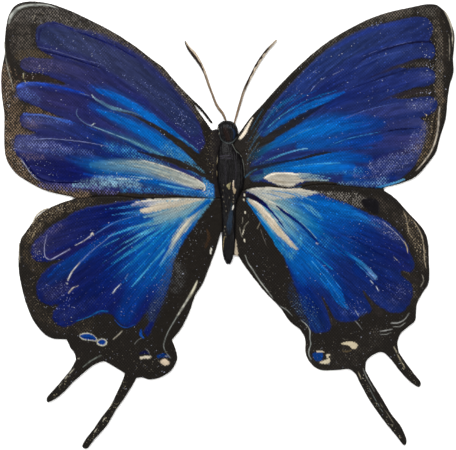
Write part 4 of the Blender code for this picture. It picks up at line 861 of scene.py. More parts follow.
    face.stroke([(94, 108.4, 1.4), (99, 104.6, 2.4), (104.4, 100.4, 3)], (30, 100, 160), (8, 90, 162),
        (4, 88, 162), streak=0.4, soft=0.6)
    face.catch([(84, 132, 4), (87, 126, 4), (90, 120, 3)], (80, 140, 180), amount=0.6)
    face.stroke([(103.4, 114.8, 1), (104.6, 118.6, 3), (102.8, 123.6, 2)], (58, 44, 33), dry=(0.5, 0.55),
        soft=0.9, streak=0.4)
    face.stroke([(105.6, 124.2, 0.8), (105.2, 126.8, 0.9)], (222, 218, 204), dry=(0, 0.2), even=0.8)
    # Threads that caught paler paint
    face.catch([(17.6, 126, 7), (21, 120, 8), (25, 116.4, 6), (32, 112, 4)], (88, 84, 122), amount=0.4)
    face.catch([(22, 144, 7), (27, 147, 8), (32, 144, 6)], (74, 80, 128), amount=0.25)
    face.catch([(30, 158, 6), (36, 157, 6), (46, 150, 5)], (60, 70, 124), amount=0.25)
    face.catch([(76, 158, 8), (80, 148, 8), (84, 138, 6), (86, 130, 4)], (60, 74, 104), amount=0.6)
    face.catch([(87, 130, 4), (90, 136, 8), (88, 144, 8)], (84, 84, 84), amount=0.4, patchy=1)
    face.brushed((112, 94))
    # Crumbs of dried paint
    face.sprinkle([(14, 118, 5), (20, 111, 6), (28, 106, 5), (38, 102.6, 4)], (190, 172, 144), 90, 0.17)
    face.sprinkle([(12, 128, 4), (20, 133, 6), (16, 145, 4), (26, 160, 6), (44, 163, 8)], (150, 134, 112),
        60, 0.16)
    face.sprinkle([(17, 124, 4), (19.6, 128, 5), (22, 122, 6)], (170, 168, 196), 24, 0.18)
    face.sprinkle([(25, 144, 9), (34, 146, 9), (30, 157, 7)], (140, 146, 196), 56, 0.16)
    face.sprinkle([(48, 146, 16), (60, 150, 16), (72, 150, 14), (78, 140, 8)], (126, 136, 190), 56, 0.14)
    face.sprinkle([(40, 116, 14), (52, 122, 14)], (120, 130, 186), 40, 0.14)
    face.sprinkle([(78, 158, 8), (84, 142, 8), (90, 130, 8), (102, 112, 5)], (150, 150, 150), 56, 0.14)
    face.sprinkle([(39, 185, 3), (33, 191, 3), (27, 198, 1.6)], (180, 168, 140), 22, 0.15)
    face.sprinkle([(64.4, 189, 3), (60, 198, 3), (54, 208, 3), (48, 216, 2.4), (44, 221, 1.6)],
        (180, 168, 140), 44, 0.15)
    face.sprinkle([(58, 176, 14), (72, 184, 10), (84, 176, 6)], (150, 142, 126), 60, 0.13)
    # Ridges, the pale lines on them painted highlights
    for path, paint, dry in (
        ([(23.6, 117.4, 0.5), (22.6, 121, 0.6), (22.2, 125.6, 0.7), (23, 128.8, 0.8), (25, 129.8, 0.9),
         (29.6, 127.6, 0.9), (35, 124.6, 0.8)], (160, 162, 200), (0.3, 0.25)),
        ([(37.4, 122.8, 0.6), (42, 120.4, 0.8), (46.4, 117.2, 0.9)], (186, 186, 200), (0.3, 0.1)),
        ([(45.4, 117.8, 1), (46.2, 116.6, 1.3), (46.8, 117.4, 0.9)], (226, 220, 206), (0, 0)),
        ([(47.6, 117, 0.6), (52.4, 114, 0.8), (58, 111, 0.7), (65, 108.8, 0.6), (70, 107.4, 0.4)],
         (80, 124, 196), (0.2, 0.4)),
        ([(34, 140, 1.1), (36, 136, 1), (40, 131.2, 0.8)], (220, 216, 216), (0, 0.2)),
        ([(40, 131.2, 0.8), (46, 125.4, 0.7), (51.6, 121, 0.6), (57.6, 116, 0.5)], (110, 140, 196),
         (0.2, 0.4)),
        ([(33.4, 141.6, 0.9), (33.9, 141.8, 0.8)], (224, 222, 220), (0, 0)),
        ([(34.4, 146.4, 1), (36.4, 144, 0.9), (39.4, 142.8, 0.5)], (200, 190, 184), (0.1, 0.4)),
        ([(56.4, 146.6, 1), (57.8, 144.6, 0.8), (60.6, 141.8, 0.5)], (214, 220, 230), (0.05, 0.4)),
        ([(62.6, 139.4, 0.5), (64, 137, 0.5)], (120, 160, 206), (0.3, 0.3)),
        ([(38, 160.6, 0.6), (45, 158.2, 0.8), (50, 155.6, 1.2), (54, 155.6, 1)], (20, 100, 172),
         (0.2, 0.3)),
        ([(57, 159.4, 0.6), (60.4, 163, 0.9), (63.6, 163.8, 0.9), (67.6, 162.2, 0.7)], (20, 70, 150),
         (0.3, 0.3)),
    ):
        face.thin(path, paint, dry=dry)
    face.stroke([(70.6, 165, 1), (70.4, 167.4, 1.6), (71.6, 168.8, 1.2)], (20, 62, 140), (30, 80, 156),
        soft=0.5)
    # Margin spots near the tails, each a blue eye in a pale ring
    face.wash([(39.5, 167.7), (41.4, 166.6), (44.4, 166.4), (47.3, 167.8), (48.9, 169.8), (48.1, 170.6),
        (44.7, 170.3), (41.1, 169.7)], (206, 204, 184), soft=0.15, ragged=0.1, rise=0.2, even=0.9)
    face.wash([(39.6, 167.9), (42.2, 166.8), (45, 166.9), (47.6, 168.4), (48.4, 170.1), (45.2, 170.1),
        (41.4, 169.4)], (6, 58, 132), soft=0.15, ragged=0.1, even=0.8)
    face.stroke([(41, 168.8, 0.5), (44.6, 169, 0.8), (47.4, 169.8, 0.5)], (14, 30, 84), soft=0.6)
    face.wash([(48.2, 171.2), (49.4, 169.7), (51.6, 169.2), (53.6, 170.7), (53.2, 172.5), (50.8, 173.1),
        (48.9, 172.4)], (206, 204, 184), soft=0.15, ragged=0.1, rise=0.2, even=0.9)
    face.wash([(48.6, 171.2), (49.9, 169.9), (51.7, 169.6), (53.2, 170.9), (52.4, 172.3), (50.1, 172.3)],
        (6, 54, 128), soft=0.15, ragged=0.1, even=0.8)
    face.thin([(56.4, 169.8, 0.6), (59, 167.6, 0.9), (61.2, 165.4, 0.7)], (186, 178, 160), dry=(0.05, 0.3))
    face.thin([(67, 172.4, 0.4), (68.8, 170.2, 0.6), (71, 168.9, 0.4)], (110, 110, 106), dry=(0.1, 0.3))
    face.thin([(72.8, 174.4, 0.4), (74.2, 175.6, 0.6), (74.8, 177.2, 0.4)], (130, 130, 132), dry=(0.1, 0.2))
    face.stroke([(70.2, 176.8, 1.2), (72.4, 176, 2), (74.2, 176.8, 1)], (24, 26, 60), dry=(0.1, 0.1))
    face.wash([(69.8, 178.6), (72.6, 177.8), (75.8, 178.2), (74.8, 179.4), (72, 179.3), (70, 179.8)],
        (214, 202, 180), soft=0.15, ragged=0.2, rise=0.2, even=0.9)
    face.stroke([(79.2, 178.2, 1.6), (81.6, 177.6, 2.2), (84.2, 178, 1.6)], (16, 50, 110), (20, 44, 96),
        dry=(0.1, 0.2))
    face.thin([(82.8, 178.2, 0.7), (83.6, 178.2, 0.7)], (220, 214, 200), dry=(0, 0))
    face.wash([(80, 181), (81.6, 179.4), (83.6, 179.8), (84.9, 181), (84, 182.6), (81.6, 182.6)],
        (214, 194, 168), soft=0.15, ragged=0.15, rise=0.2, even=0.9)
    # The pale line along the inner margin, and the one at the outer tail's root
    face.thin([(98.6, 140.6, 1), (96.6, 145, 1.8), (94.4, 148.8, 1.8)], (222, 216, 190), dry=(0, 0.05),
        cover=0.9)
    face.thin([(94.4, 148.8, 1.7), (91.4, 153.6, 1.4), (88.8, 157.8, 1.2)], (196, 194, 180), dry=(0, 0.2),
        cover=0.9)
    face.thin([(88.8, 157.8, 1), (86.4, 161.8, 0.8), (83.8, 166.4, 0.7), (82.4, 170.2, 0.7),
        (81.8, 173.2, 0.6), (83, 176.2, 0.6), (85.2, 179, 0.5)], (140, 144, 138), dry=(0.05, 0.2))
    face.thin([(41.2, 183.8, 0.5), (45, 180.8, 1), (47.6, 179.2, 1.1), (50.6, 177.6, 0.6)], (116, 122, 114),
        dry=(0.2, 0.3))
    face.thin([(38.9, 179.4, 0.8), (39.5, 179.2, 0.8)], (214, 206, 186), dry=(0, 0))
    for points in (
        [(29.6, 193.2, 0.6), (30.8, 191.6, 0.6)],
        [(32.4, 189.6, 0.6), (34, 187.6, 0.6)],
        [(34.6, 187, 0.5), (37, 184.4, 0.5)],
        [(51.4, 210.6, 0.7), (52.6, 208.8, 0.7)],
        [(55, 203.4, 0.6), (56.4, 201, 0.6)],
        [(47, 216.4, 0.5), (48.6, 214.2, 0.6)],
    ):
        face.thin(points, (206, 198, 178), dry=(0.1, 0.3))
    face.thin([(16.2, 111.6, 0.8), (18.6, 107.4, 1.3), (21.6, 105.2, 1.4), (24.8, 104, 0.8)],
        (196, 186, 166), dry=(0.1, 0.3))
    face.thin([(9.8, 121, 0.5), (9.6, 126, 0.8), (9.9, 131, 0.6)], (170, 160, 140), dry=(0.2, 0.3))
    face.thin([(13.8, 122.4, 0.5), (16.4, 118, 0.8), (18.6, 114.2, 0.5)], (150, 132, 104), dry=(0.5, 0.5))


def paint_right_hindwing(face):
    # Weave that shows through the dark margin
    for path, paint, amount, patchy in (
        ([(158, 97, 4), (166, 98.4, 6), (175, 100, 8), (182, 101, 6)], (120, 114, 108), 0.8, 0.9),
        ([(188, 100, 6), (194, 104, 8), (200, 110, 8)], (84, 76, 68), 0.4, 1),
        ([(203, 108, 5), (206, 116, 8), (210, 124, 7), (211.6, 134, 5)], (110, 98, 82), 0.42, 1),
        ([(198, 128, 8), (204, 137, 8), (207, 150, 7)], (100, 90, 78), 0.3, 1),
        ([(150, 176, 14), (170, 180, 14), (190, 168, 12)], (90, 84, 76), 0.16, 1),
    ):
        face.catch(path, paint, amount=amount, patchy=patchy)
    face.wash([(122.6, 96.4), (126, 94), (133, 93.6), (142, 93.8), (152, 94.6), (159, 96.2), (166, 99.2),
        (172.5, 101.4), (180, 104.6), (185.6, 107.4), (190, 108.8), (194.4, 111.6), (198, 114.6),
        (201.4, 118.6), (203.8, 122.4), (204.8, 126.4), (206.4, 129.6), (207.2, 133.4), (205, 136.2),
        (201.2, 135.2), (200.4, 137.2), (205.2, 141.6), (206.6, 145.4), (205.2, 150.4), (203.6, 153.8),
        (199.8, 156.4), (195, 156), (188.8, 152.6), (184, 148.6), (182, 146), (186, 152.6), (185.2, 156),
        (180.2, 157.6), (178.8, 160), (174, 161), (169, 160.6), (165.2, 157.4), (161.6, 150),
        (164.2, 156.2), (165.6, 161.2), (164.8, 165.2), (159, 166.4), (155, 165), (154.4, 161),
        (151.4, 155), (149, 147.6), (146.6, 141.2), (144.8, 136), (142.4, 130), (139, 124), (134.2, 116.2),
        (129.2, 108.2), (124, 100.4)], (24, 40, 98), rise=0.34, lip=0.08, ragged=0.6, mottle=0.12,
        field=True)
    # Cells of the outer half
    face.glaze([(200, 120, 7), (190, 114.6, 10), (178, 109, 11), (166, 104.2, 9)], (34, 44, 96),
        (26, 50, 112), (10, 70, 146), (6, 84, 160), cover=0.9, soft=0.6)
    face.glaze([(203, 128, 8), (192, 122, 11), (180, 116, 12), (168, 112, 9)], (24, 30, 86), (22, 36, 98),
        (12, 44, 112), (4, 72, 150), cover=0.9, soft=0.6)
    face.glaze([(204, 134, 6), (194, 130, 10), (182, 126, 11), (172, 121, 9)], (28, 34, 90), (22, 34, 92),
        (16, 38, 100), (8, 60, 134), cover=0.85, soft=0.6)
    face.glaze([(203, 148, 12), (192, 142, 12), (180, 134, 11)], (28, 36, 84), (22, 34, 90), (12, 40, 106),
        cover=0.9, soft=0.5)
    face.glaze([(178, 156, 10), (172, 148, 10), (166, 139, 9)], (22, 40, 106), (12, 42, 110), (8, 52, 126),
        cover=0.9, soft=0.6, streak=0.2)
    face.glaze([(160, 162, 9), (156, 152, 9), (151, 142, 8), (147, 136, 5)], (22, 38, 84), (14, 36, 96),
        (14, 38, 104), (8, 56, 128), cover=0.9, soft=0.6, streak=0.2)
    # Rays of colour from the root
    face.fan((122, 98), [(-6, 20, 28, 34), (0, 24, 34, 42), (6, 24, 54, 66), (12, 24, 56, 68),
        (18, 26, 42, 56), (24, 28, 42, 56), (30, 28, 48, 62), (36, 28, 44, 58), (42, 26, 50, 64),
        (47, 30, 54, 66), (52, 24, 50, 60), (57, 14, 40, 48), (62, 8, 18, 26)], (90, 146, 170),
        (4, 86, 162), (6, 62, 140), streak=0.22, dry=0.06)
    face.stroke([(160, 100.6, 2), (168, 103, 5), (176, 106.6, 5.4), (184, 110.6, 4), (190, 113.6, 2)],
        (4, 88, 166), (4, 92, 170), (14, 92, 168), (30, 96, 166), (30, 80, 146), dry=(0.2, 0.4),
        streak=0.25, soft=0.7)
    face.stroke([(151, 126, 4), (158, 133.6, 7), (165, 142, 8), (170, 150, 6), (173.6, 154, 2)],
        (4, 84, 160), (4, 90, 168), (2, 86, 164), (6, 80, 154), (20, 86, 156), dry=(0.15, 0.4), streak=0.3,
        hair=0.4, soft=0.6)
    face.glaze([(146, 130, 4), (149, 136, 6), (152, 142, 4)], (8, 86, 158), (4, 78, 152), (8, 64, 140),
        soft=0.8)
    face.stroke([(160, 119, 1.4), (168, 124, 2.4), (176, 128.6, 2.8), (182, 133.4, 3.6), (187, 138.6, 3.6)],
        (8, 72, 148), (8, 78, 154), (10, 88, 162), (40, 112, 172), (90, 134, 186), dry=(0.35, 0.1),
        streak=0.3, soft=0.4, rise=0.1)
    face.stroke([(184, 136.2, 1.2), (187.2, 139.4, 1.4)], (120, 150, 200), dry=(0.3, 0.1), soft=0.6)
    for points, paint in (
        ([(156, 130.6, 0.6), (161, 136.4, 0.9), (166, 143, 0.8), (169.6, 148.6, 0.5)], (60, 140, 200)),
        ([(154, 131.6, 0.6), (159, 137.6, 0.9), (164, 144.6, 0.8)], (40, 120, 186)),
        ([(158, 129.6, 0.6), (164, 136, 0.8), (170.6, 144.6, 0.6)], (40, 110, 180)),
        ([(150, 121, 1), (158, 127.6, 1.6), (166, 134.6, 1.4)], (20, 104, 170)),
        ([(160, 108, 1), (168, 111.6, 1.8), (176, 116, 1.4)], (4, 70, 148)),
        ([(154, 112.6, 1), (162, 117, 1.8), (170, 123, 1.4)], (4, 80, 156)),
        ([(176, 119, 1), (186, 124.6, 1.2), (196, 131, 0.8)], (16, 28, 86)),
        ([(178, 128.6, 0.8), (188, 135, 1.2), (198, 142.6, 0.8)], (18, 34, 94)),
        ([(172, 126.6, 0.8), (180, 132.6, 1.4), (188, 141, 1)], (8, 40, 110)),
    ):
        face.stroke(points, paint, dry=(0.4, 0.4), hair=0.3, soft=0.9)
    # Black margin that runs in between the lobes
    face.stroke([(161, 148.4, 0.8), (164, 154.6, 2), (166.6, 161.6, 3.4)], (44, 40, 38), soft=0.4)
    face.stroke([(181.6, 145.4, 1), (184.8, 150.6, 2.6), (189.6, 156.4, 5)], (44, 40, 38), soft=0.5)
    face.stroke([(200.6, 135.6, 0.8), (204.6, 139, 2.6), (208.6, 140.6, 4)], (44, 40, 38), soft=0.6)
    face.wash([(181, 99.8), (185, 99), (189.4, 100.4), (190, 104.4), (189.6, 106.8), (186, 106.6),
        (183, 104.2), (181.2, 102.2)], (28, 27, 30), soft=0.4, even=0.7, rise=0.15)
    # Teal by the body
    face.glaze([(132, 98.4, 4), (140, 102.6, 8), (149, 107.6, 10), (157, 113.4, 8), (162, 118, 4)],
        (140, 160, 160), (120, 154, 164), (66, 136, 168), (20, 110, 166), (6, 88, 160), soft=0.8, hair=0.4,
        streak=0.3)
    face.stroke([(128, 99, 1.4), (136, 102.4, 4), (145, 106.4, 5.4), (152, 110.4, 4), (158, 114, 2)],
        (150, 164, 160), (170, 178, 168), (110, 156, 168), (70, 136, 168), (30, 110, 164), dry=(0.25, 0.5),
        streak=0.5, hair=0.3, soft=0.6, rise=0.1)
    face.stroke([(140, 106, 1), (144, 110, 3), (147, 114.4, 4), (150, 119, 3)], (130, 160, 166),
        (110, 150, 164), (96, 148, 170), (40, 116, 168), dry=(0.3, 0.4), streak=0.4, hair=0.3, soft=0.6)
    face.stroke([(150, 101, 2), (156, 105, 4), (161, 109.6, 3)], (60, 126, 168), (80, 144, 174),
        (30, 112, 166), dry=(0.35, 0.45), streak=0.5, hair=0.3, soft=0.7)
    # Cream: the upper tongue, then the long stroke below it
    face.wash([(123.4, 95.2), (125.6, 94.2), (130.4, 93.4), (139, 93.3), (148, 94.2), (155, 95.4),
        (159, 96.2), (156.4, 97.4), (152, 98.4), (149, 98.2), (145, 99.4), (140, 99.8), (135.4, 100.4),
        (130.6, 99.4), (126.6, 97)], (172, 174, 166), soft=0.5, ragged=0.8, rise=0.26, lip=0.04,
        mottle=0.14, even=0.7)
    face.stroke([(125.6, 94.8, 1), (134, 93.9, 1.6), (146, 94.5, 2), (157.4, 96.2, 1.2)], (206, 200, 186),
        (210, 202, 186), (206, 196, 178), (190, 186, 172), dry=(0.05, 0.1), soft=0.5, streak=0.15, even=0.8,
        rise=0.12)
    for points, paint in (
        ([(130.6, 96.4, 0.6), (136, 97.4, 1.2), (142, 99.4, 1.2), (147, 102, 0.8)], (110, 140, 170)),
        ([(136, 95.4, 0.6), (142, 96.2, 1), (147, 97.4, 1.2), (151, 99.6, 0.8)], (84, 130, 170)),
        ([(128.4, 96.6, 0.6), (133, 99, 1.2), (138, 101.8, 1)], (150, 160, 158)),
        ([(147, 96.4, 0.6), (152, 98.6, 1.2), (158, 101, 1)], (70, 130, 172)),
    ):
        face.stroke(points, paint, dry=(0.25, 0.35), streak=0.4, hair=0.3, soft=0.8)
    face.stroke([(131, 98.4, 0.9), (135, 101.2, 1.8), (139, 103, 1.4)], (206, 200, 184), (196, 192, 176),
        (150, 164, 164), dry=(0.1, 0.4), soft=0.6, rise=0.1, even=0.7)
    face.stroke([(139, 104.6, 0.7), (142.4, 105.4, 1.2), (144.8, 107.4, 0.8)], (206, 206, 196),
        (150, 176, 184), dry=(0.1, 0.4), soft=0.6)
    face.stroke([(132.6, 101.4, 0.8), (137, 107, 2.6), (141.4, 112.6, 3.6), (146.4, 118, 4), (149, 121, 2)],
        (130, 150, 160), (150, 164, 164), (120, 152, 166), (84, 144, 174), (30, 112, 168), dry=(0.3, 0.4),
        hair=0.3, soft=0.6)
    face.wash([(123.8, 99.4), (127, 100), (131, 102.8), (135.2, 107.2), (139.4, 112.6), (143.8, 118.2),
        (147.4, 122.4), (149.2, 124.8), (146.4, 124.2), (141.8, 120.4), (136.8, 115.2), (132, 109.4),
        (128, 104.4), (125, 101.4)], (196, 184, 164), soft=0.35, ragged=0.4, rise=0.34, lip=0.05,
        mottle=0.08, even=0.85)
    face.stroke([(126.6, 100.6, 0.9), (130, 103, 1.8), (134.6, 108, 1.8), (139, 113.6, 1.6)],
        (224, 216, 200), (222, 212, 194), (212, 200, 180), dry=(0, 0.4), streak=0.2, soft=0.6, rise=0.1,
        even=0.8)
    face.stroke([(137, 112.6, 1), (141.6, 118, 1.6), (146.6, 123, 1)], (180, 166, 140), (190, 178, 156),
        dry=(0.3, 0.3), streak=0.3, soft=0.7, even=0.8)
    face.stroke([(123.4, 100.4, 0.8), (127.6, 105.8, 1.8), (132, 112, 2.4), (136.6, 118.8, 2.8),
        (141, 125, 3.4), (144, 130, 2)], (30, 116, 176), (10, 100, 170), (10, 100, 168), (20, 112, 170),
        (20, 106, 164), (8, 84, 154), dry=(0.05, 0.35), streak=0.35, soft=0.5)
    face.catch([(142, 122, 6), (145, 127, 7), (148, 123, 5), (152, 118, 5)], (70, 144, 178), sink=0.4)
    face.stroke([(128.6, 106.6, 0.4), (131.6, 110.2, 0.6), (134.6, 114, 0.4)], (120, 170, 196),
        dry=(0.3, 0.3), soft=0.8)
    # Navy lines between the rays
    face.stroke([(121.8, 97.2, 2.4), (126, 98.4, 2.8), (130.2, 100.6, 2.4), (134, 104, 1.4),
        (137.6, 108, 1), (140.6, 112, 0.9), (142.6, 114.8, 0.5)], (32, 28, 36), (24, 22, 44), (14, 26, 92),
        (12, 34, 106), (10, 50, 124), soft=0.25, streak=0.2)
    face.stroke([(138.4, 103, 0.8), (142, 106, 1.4), (147, 109.6, 1.5), (152, 113.8, 1.5),
        (156.6, 118.8, 1.4), (160, 122.6, 1.6), (165, 125.4, 1)], (20, 34, 90), (10, 32, 98), (10, 34, 104),
        (10, 36, 106), (12, 34, 100), (10, 52, 126), streak=0.2, dry=(0.1, 0.3))
    face.stroke([(160, 117.6, 0.6), (168, 123.4, 1.4), (176, 130, 1.2)], (8, 44, 116), (8, 46, 118),
        dry=(0.4, 0.5), soft=0.7)
    face.thin([(150, 110.6, 0.7), (155, 115.6, 0.8), (158.6, 119.6, 0.5)], (110, 164, 190), dry=(0.3, 0.3))
    face.thin([(158.3, 121.6, 1), (158.8, 121.9, 0.9)], (214, 220, 226), dry=(0, 0))
    # Threads that caught paler paint
    face.catch([(186, 110, 5), (192, 113.6, 7), (198, 118, 6)], (92, 98, 148), amount=0.4)
    face.catch([(200, 146, 10), (196, 152, 8), (188, 148, 6)], (72, 80, 134), amount=0.25)
    face.catch([(150, 150, 8), (154, 158, 9), (158, 163, 7)], (36, 72, 128))
    face.catch([(146, 142, 4), (146, 148, 5), (150, 156, 5)], (48, 64, 96))
    face.catch([(172, 155, 6), (180, 156, 6)], (80, 100, 160))
    face.catch([(152, 120, 8), (158, 126, 8), (164, 120, 7)], (50, 130, 186), amount=0.25)
    face.brushed((116, 93))
    # Crumbs of dried paint
    face.sprinkle([(160, 97, 3), (170, 99, 7), (180, 99, 7)], (186, 180, 168), 80, 0.16)
    face.sprinkle([(203, 109, 4), (208, 119, 7), (212, 130, 4)], (196, 178, 146), 60, 0.18)
    face.sprinkle([(186, 110, 4), (193, 114, 6), (199, 119, 4)], (170, 176, 210), 34, 0.16)
    face.sprinkle([(196, 148, 12), (202, 144, 8), (190, 144, 8)], (130, 138, 190), 50, 0.14)
    face.sprinkle([(150, 148, 10), (156, 158, 10), (148, 154, 8)], (120, 146, 170), 70, 0.14)
    face.sprinkle([(172, 154, 8), (180, 152, 8)], (130, 140, 190), 34, 0.14)
    face.sprinkle([(172, 118, 14), (184, 124, 14), (190, 134, 12)], (110, 126, 190), 60, 0.14)
    face.sprinkle([(132, 130, 8), (138, 144, 9), (160, 176, 14), (180, 172, 14), (196, 164, 8)],
        (140, 132, 120), 110, 0.14)
    face.sprinkle([(180.6, 188, 3), (186, 198, 3), (193, 209, 3), (200, 219, 1.8)], (180, 170, 146), 50,
        0.15)
    face.sprinkle([(197.6, 175, 2.4), (202, 183, 2.8), (208, 191, 1.8)], (186, 176, 150), 26, 0.15)
    # Ridges and lines; the pale paint on the ridges is a painted highlight
    for path, paint, dry in (
        ([(191, 110.6, 0.4), (195, 113.8, 0.6), (199, 117.6, 0.6), (202.2, 121.4, 0.6)], (150, 154, 180),
         (0.35, 0.3)),
        ([(202, 120.6, 0.7), (203.4, 123.6, 0.9), (203.8, 126.6, 0.6)], (190, 172, 136), (0.1, 0.3)),
        ([(201.4, 105, 0.5), (203.4, 109.8, 0.8), (204, 115, 0.7), (206, 119, 0.5)], (176, 160, 134),
         (0.35, 0.4)),
        ([(206.4, 110, 0.5), (209.2, 114.2, 0.7), (211.2, 119, 0.9), (212, 125, 0.9), (212.4, 130.6, 0.8),
         (213, 134, 0.6)], (186, 172, 148), (0.25, 0.35)),
        ([(211, 137.2, 0.6), (211.8, 140.2, 0.8), (210.4, 143.2, 0.6)], (160, 154, 140), (0.2, 0.3)),
        ([(185, 140.2, 0.7), (186.4, 141.8, 0.7)], (190, 204, 226), (0, 0.2)),
        ([(188, 143.2, 0.7), (189.2, 145.4, 0.6)], (200, 206, 224), (0, 0.2)),
        ([(197, 128.6, 0.5), (198.8, 130.4, 0.5)], (170, 166, 170), (0.1, 0.2)),
        ([(177.4, 154.8, 0.5), (179.2, 157.8, 0.6)], (170, 180, 206), (0.1, 0.3)),
        ([(177.6, 160.4, 0.7), (179.4, 162.4, 0.6), (181, 164.6, 0.4)], (140, 140, 140), (0.1, 0.3)),
        ([(130.2, 111, 0.6), (128.6, 114.4, 0.6)], (150, 140, 120), (0.1, 0.3)),
        ([(130.2, 114.4, 0.5), (131.6, 118.6, 0.5), (133.2, 122.6, 0.4)], (110, 104, 96), (0.2, 0.4)),
        ([(122.6, 127.6, 0.7), (124, 131.4, 0.8), (126.2, 134.6, 1), (128.4, 138.2, 1), (131, 142, 1.1),
         (134, 145.8, 0.9), (136.6, 149.4, 0.5)], (166, 168, 160), (0.05, 0.2)),
        ([(140, 153, 0.6), (143.6, 155.2, 0.8), (146.2, 158, 0.5)], (140, 142, 138), (0.1, 0.3)),
        ([(150.6, 160.2, 0.6), (153.4, 162.6, 0.8), (155, 165.6, 0.9), (154.9, 169, 0.8), (155.4, 172, 0.7),
         (154.6, 174.6, 0.9), (154.5, 177.6, 0.8), (155.6, 179.8, 0.5)], (160, 164, 158), (0.05, 0.2)),
    ):
        face.thin(path, paint, dry=dry)
    # Margin spots near the tails
    face.wash([(156.2, 176.8), (158.4, 175.8), (161.2, 176.2), (161.6, 178.4), (160.8, 180.2), (159, 180.6),
        (157.2, 179.6)], (20, 58, 124), soft=0.2, rise=0.1, even=0.5)
    face.stroke([(158.4, 175.8, 0.6), (160.2, 175.6, 1), (162, 176, 0.6)], (204, 190, 166), rise=0.1,
        even=0.9)
    face.wash([(159.6, 181.2), (161.2, 180.4), (162.6, 180), (164.9, 179.2), (165.2, 180.8), (163.6, 182),
        (161.4, 182)], (210, 198, 172), soft=0.15, ragged=0.2, rise=0.2, even=0.9)
    face.stroke([(163.8, 178.8, 0.9), (163.6, 177.6, 1.4), (164.8, 177.4, 0.9)], (206, 194, 168), rise=0.15,
        even=0.9)
    face.wash([(170.4, 171.8), (173.6, 170.8), (177.2, 171), (178.9, 172.6), (178.2, 174.2), (176.4, 174.6),
        (174.8, 173), (172.2, 172.4)], (210, 196, 166), soft=0.15, ragged=0.2, rise=0.2, even=0.9)
    face.stroke([(171.4, 175.4, 0.7), (173.6, 175.8, 1), (175.6, 175.2, 0.6)], (92, 80, 60), dry=(0.2, 0.2))
    face.thin([(171.4, 169.2, 0.4), (173, 170, 0.4)], (110, 106, 98), dry=(0.1, 0.3))
    face.thin([(195.8, 161.6, 0.9), (198.8, 161.5, 0.9), (202, 160, 0.7), (204.6, 156.6, 0.5)],
        (176, 176, 172), dry=(0, 0.3))
    face.thin([(196.6, 163.3, 0.6), (200, 163.2, 0.7), (202.8, 161.2, 0.4)], (150, 150, 144),
        dry=(0.1, 0.3))
    face.thin([(190, 165.7, 0.6), (193, 165.2, 0.8), (196.2, 164.6, 0.7)], (176, 176, 172), dry=(0, 0.2))
    face.thin([(190.2, 167.3, 0.6), (193, 167.2, 0.6), (195.6, 166.2, 0.4)], (146, 146, 140),
        dry=(0.1, 0.2))
    for points, paint in (
        ([(197, 173.6, 0.9), (198.4, 176.2, 0.9)], (206, 196, 170)),
        ([(198.8, 177.4, 0.8), (200.4, 180.4, 0.9)], (190, 180, 150)),
        ([(200.8, 181.2, 0.8), (202.4, 183.8, 0.7)], (180, 168, 140)),
        ([(179.2, 186.2, 0.7), (180.6, 189.4, 0.7)], (166, 156, 134)),
    ):
        face.thin(points, paint, dry=(0.1, 0.2))
    face.thin([(181.6, 184.4, 0.6), (183, 188, 0.9), (184.8, 191.4, 0.8), (187.4, 196, 0.4)],
        (140, 140, 134), dry=(0.1, 0.4))
    face.thin([(184.6, 194, 0.4), (188, 200.4, 0.7), (191.6, 206.4, 0.6)], (120, 128, 126), dry=(0.3, 0.5))
    face.thin([(190, 201.6, 0.4), (193.4, 206.4, 0.6), (197, 212, 0.4)], (130, 122, 106), dry=(0.3, 0.4))
    # Marks beside the body
    for points in (
        [(122.2, 97.2, 0.7), (122.3, 98, 0.6)],
        [(121.8, 99.6, 0.7), (122, 100.4, 0.6)],
        [(122.6, 106, 0.7), (122.5, 106.8, 0.6)],
        [(122.1, 119.8, 0.7), (122.3, 120.8, 0.6)],
        [(121.8, 115, 0.6), (121.4, 117, 0.5)],
    ):
        face.stroke(points, (206, 198, 178), dry=(0.1, 0.2), even=0.8)
    for points in (
        [(121.3, 108.8, 0.4), (121.1, 112, 0.4)],
        [(120, 113.6, 0.4), (120.2, 116, 0.5), (121.2, 118.6, 0.4)],
        [(124.4, 105.4, 0.4), (124.3, 108.6, 0.4)],
        [(124.2, 110.8, 0.3), (122.4, 113, 0.5), (121.8, 115, 0.4)],
    ):
        face.stroke(points, (120, 116, 104), dry=(0.2, 0.3), even=0.8)
    # The wedge of bare canvas beside the abdomen
    face.wash([(117, 119.6), (117.8, 119.6), (118.7, 124), (119.1, 128.2), (117.6, 128.6), (117, 124)],
        (186, 172, 150), soft=0.15, ragged=0.15)


# Leaves

STEP_X, STEP_Y = WARP / 2, WEFT / 2
EDGE_STEP = 0.26  # between places along a cut edge
EDGE_GAP = 0.36  # between the grid and the cut edge
EDGE_ROUND = 0.7  # how far the paint rounds over a cut edge
EDGE_DROP = 0.45  # and how far it falls there
SEAM_LAP = 0.03  # how far each wing's paint runs over the middle of the seam
WEAVE_RELIEF = 0.05
PAINT_HEIGHTS = (-0.1, 0.8)  # the lowest and highest that paint stands on the leaf
POCKET_SIDES = (107.8, 122.7)  # the roots slip under the body between these
POCKET_ROOF = 1.74
WALLS = ((0.62, 0.25), (0.3, 0.8), (0.0, 1.0))  # down the cut edge: share of the height and how bare it is


def on_row(x, y, z):
    """Places on the sheet, with a height, as places on the row's frame."""
    return np.stack([(x - ORIGIN_X) * MM, (ORIGIN_Y - y) * MM, z * MM], axis=-1)


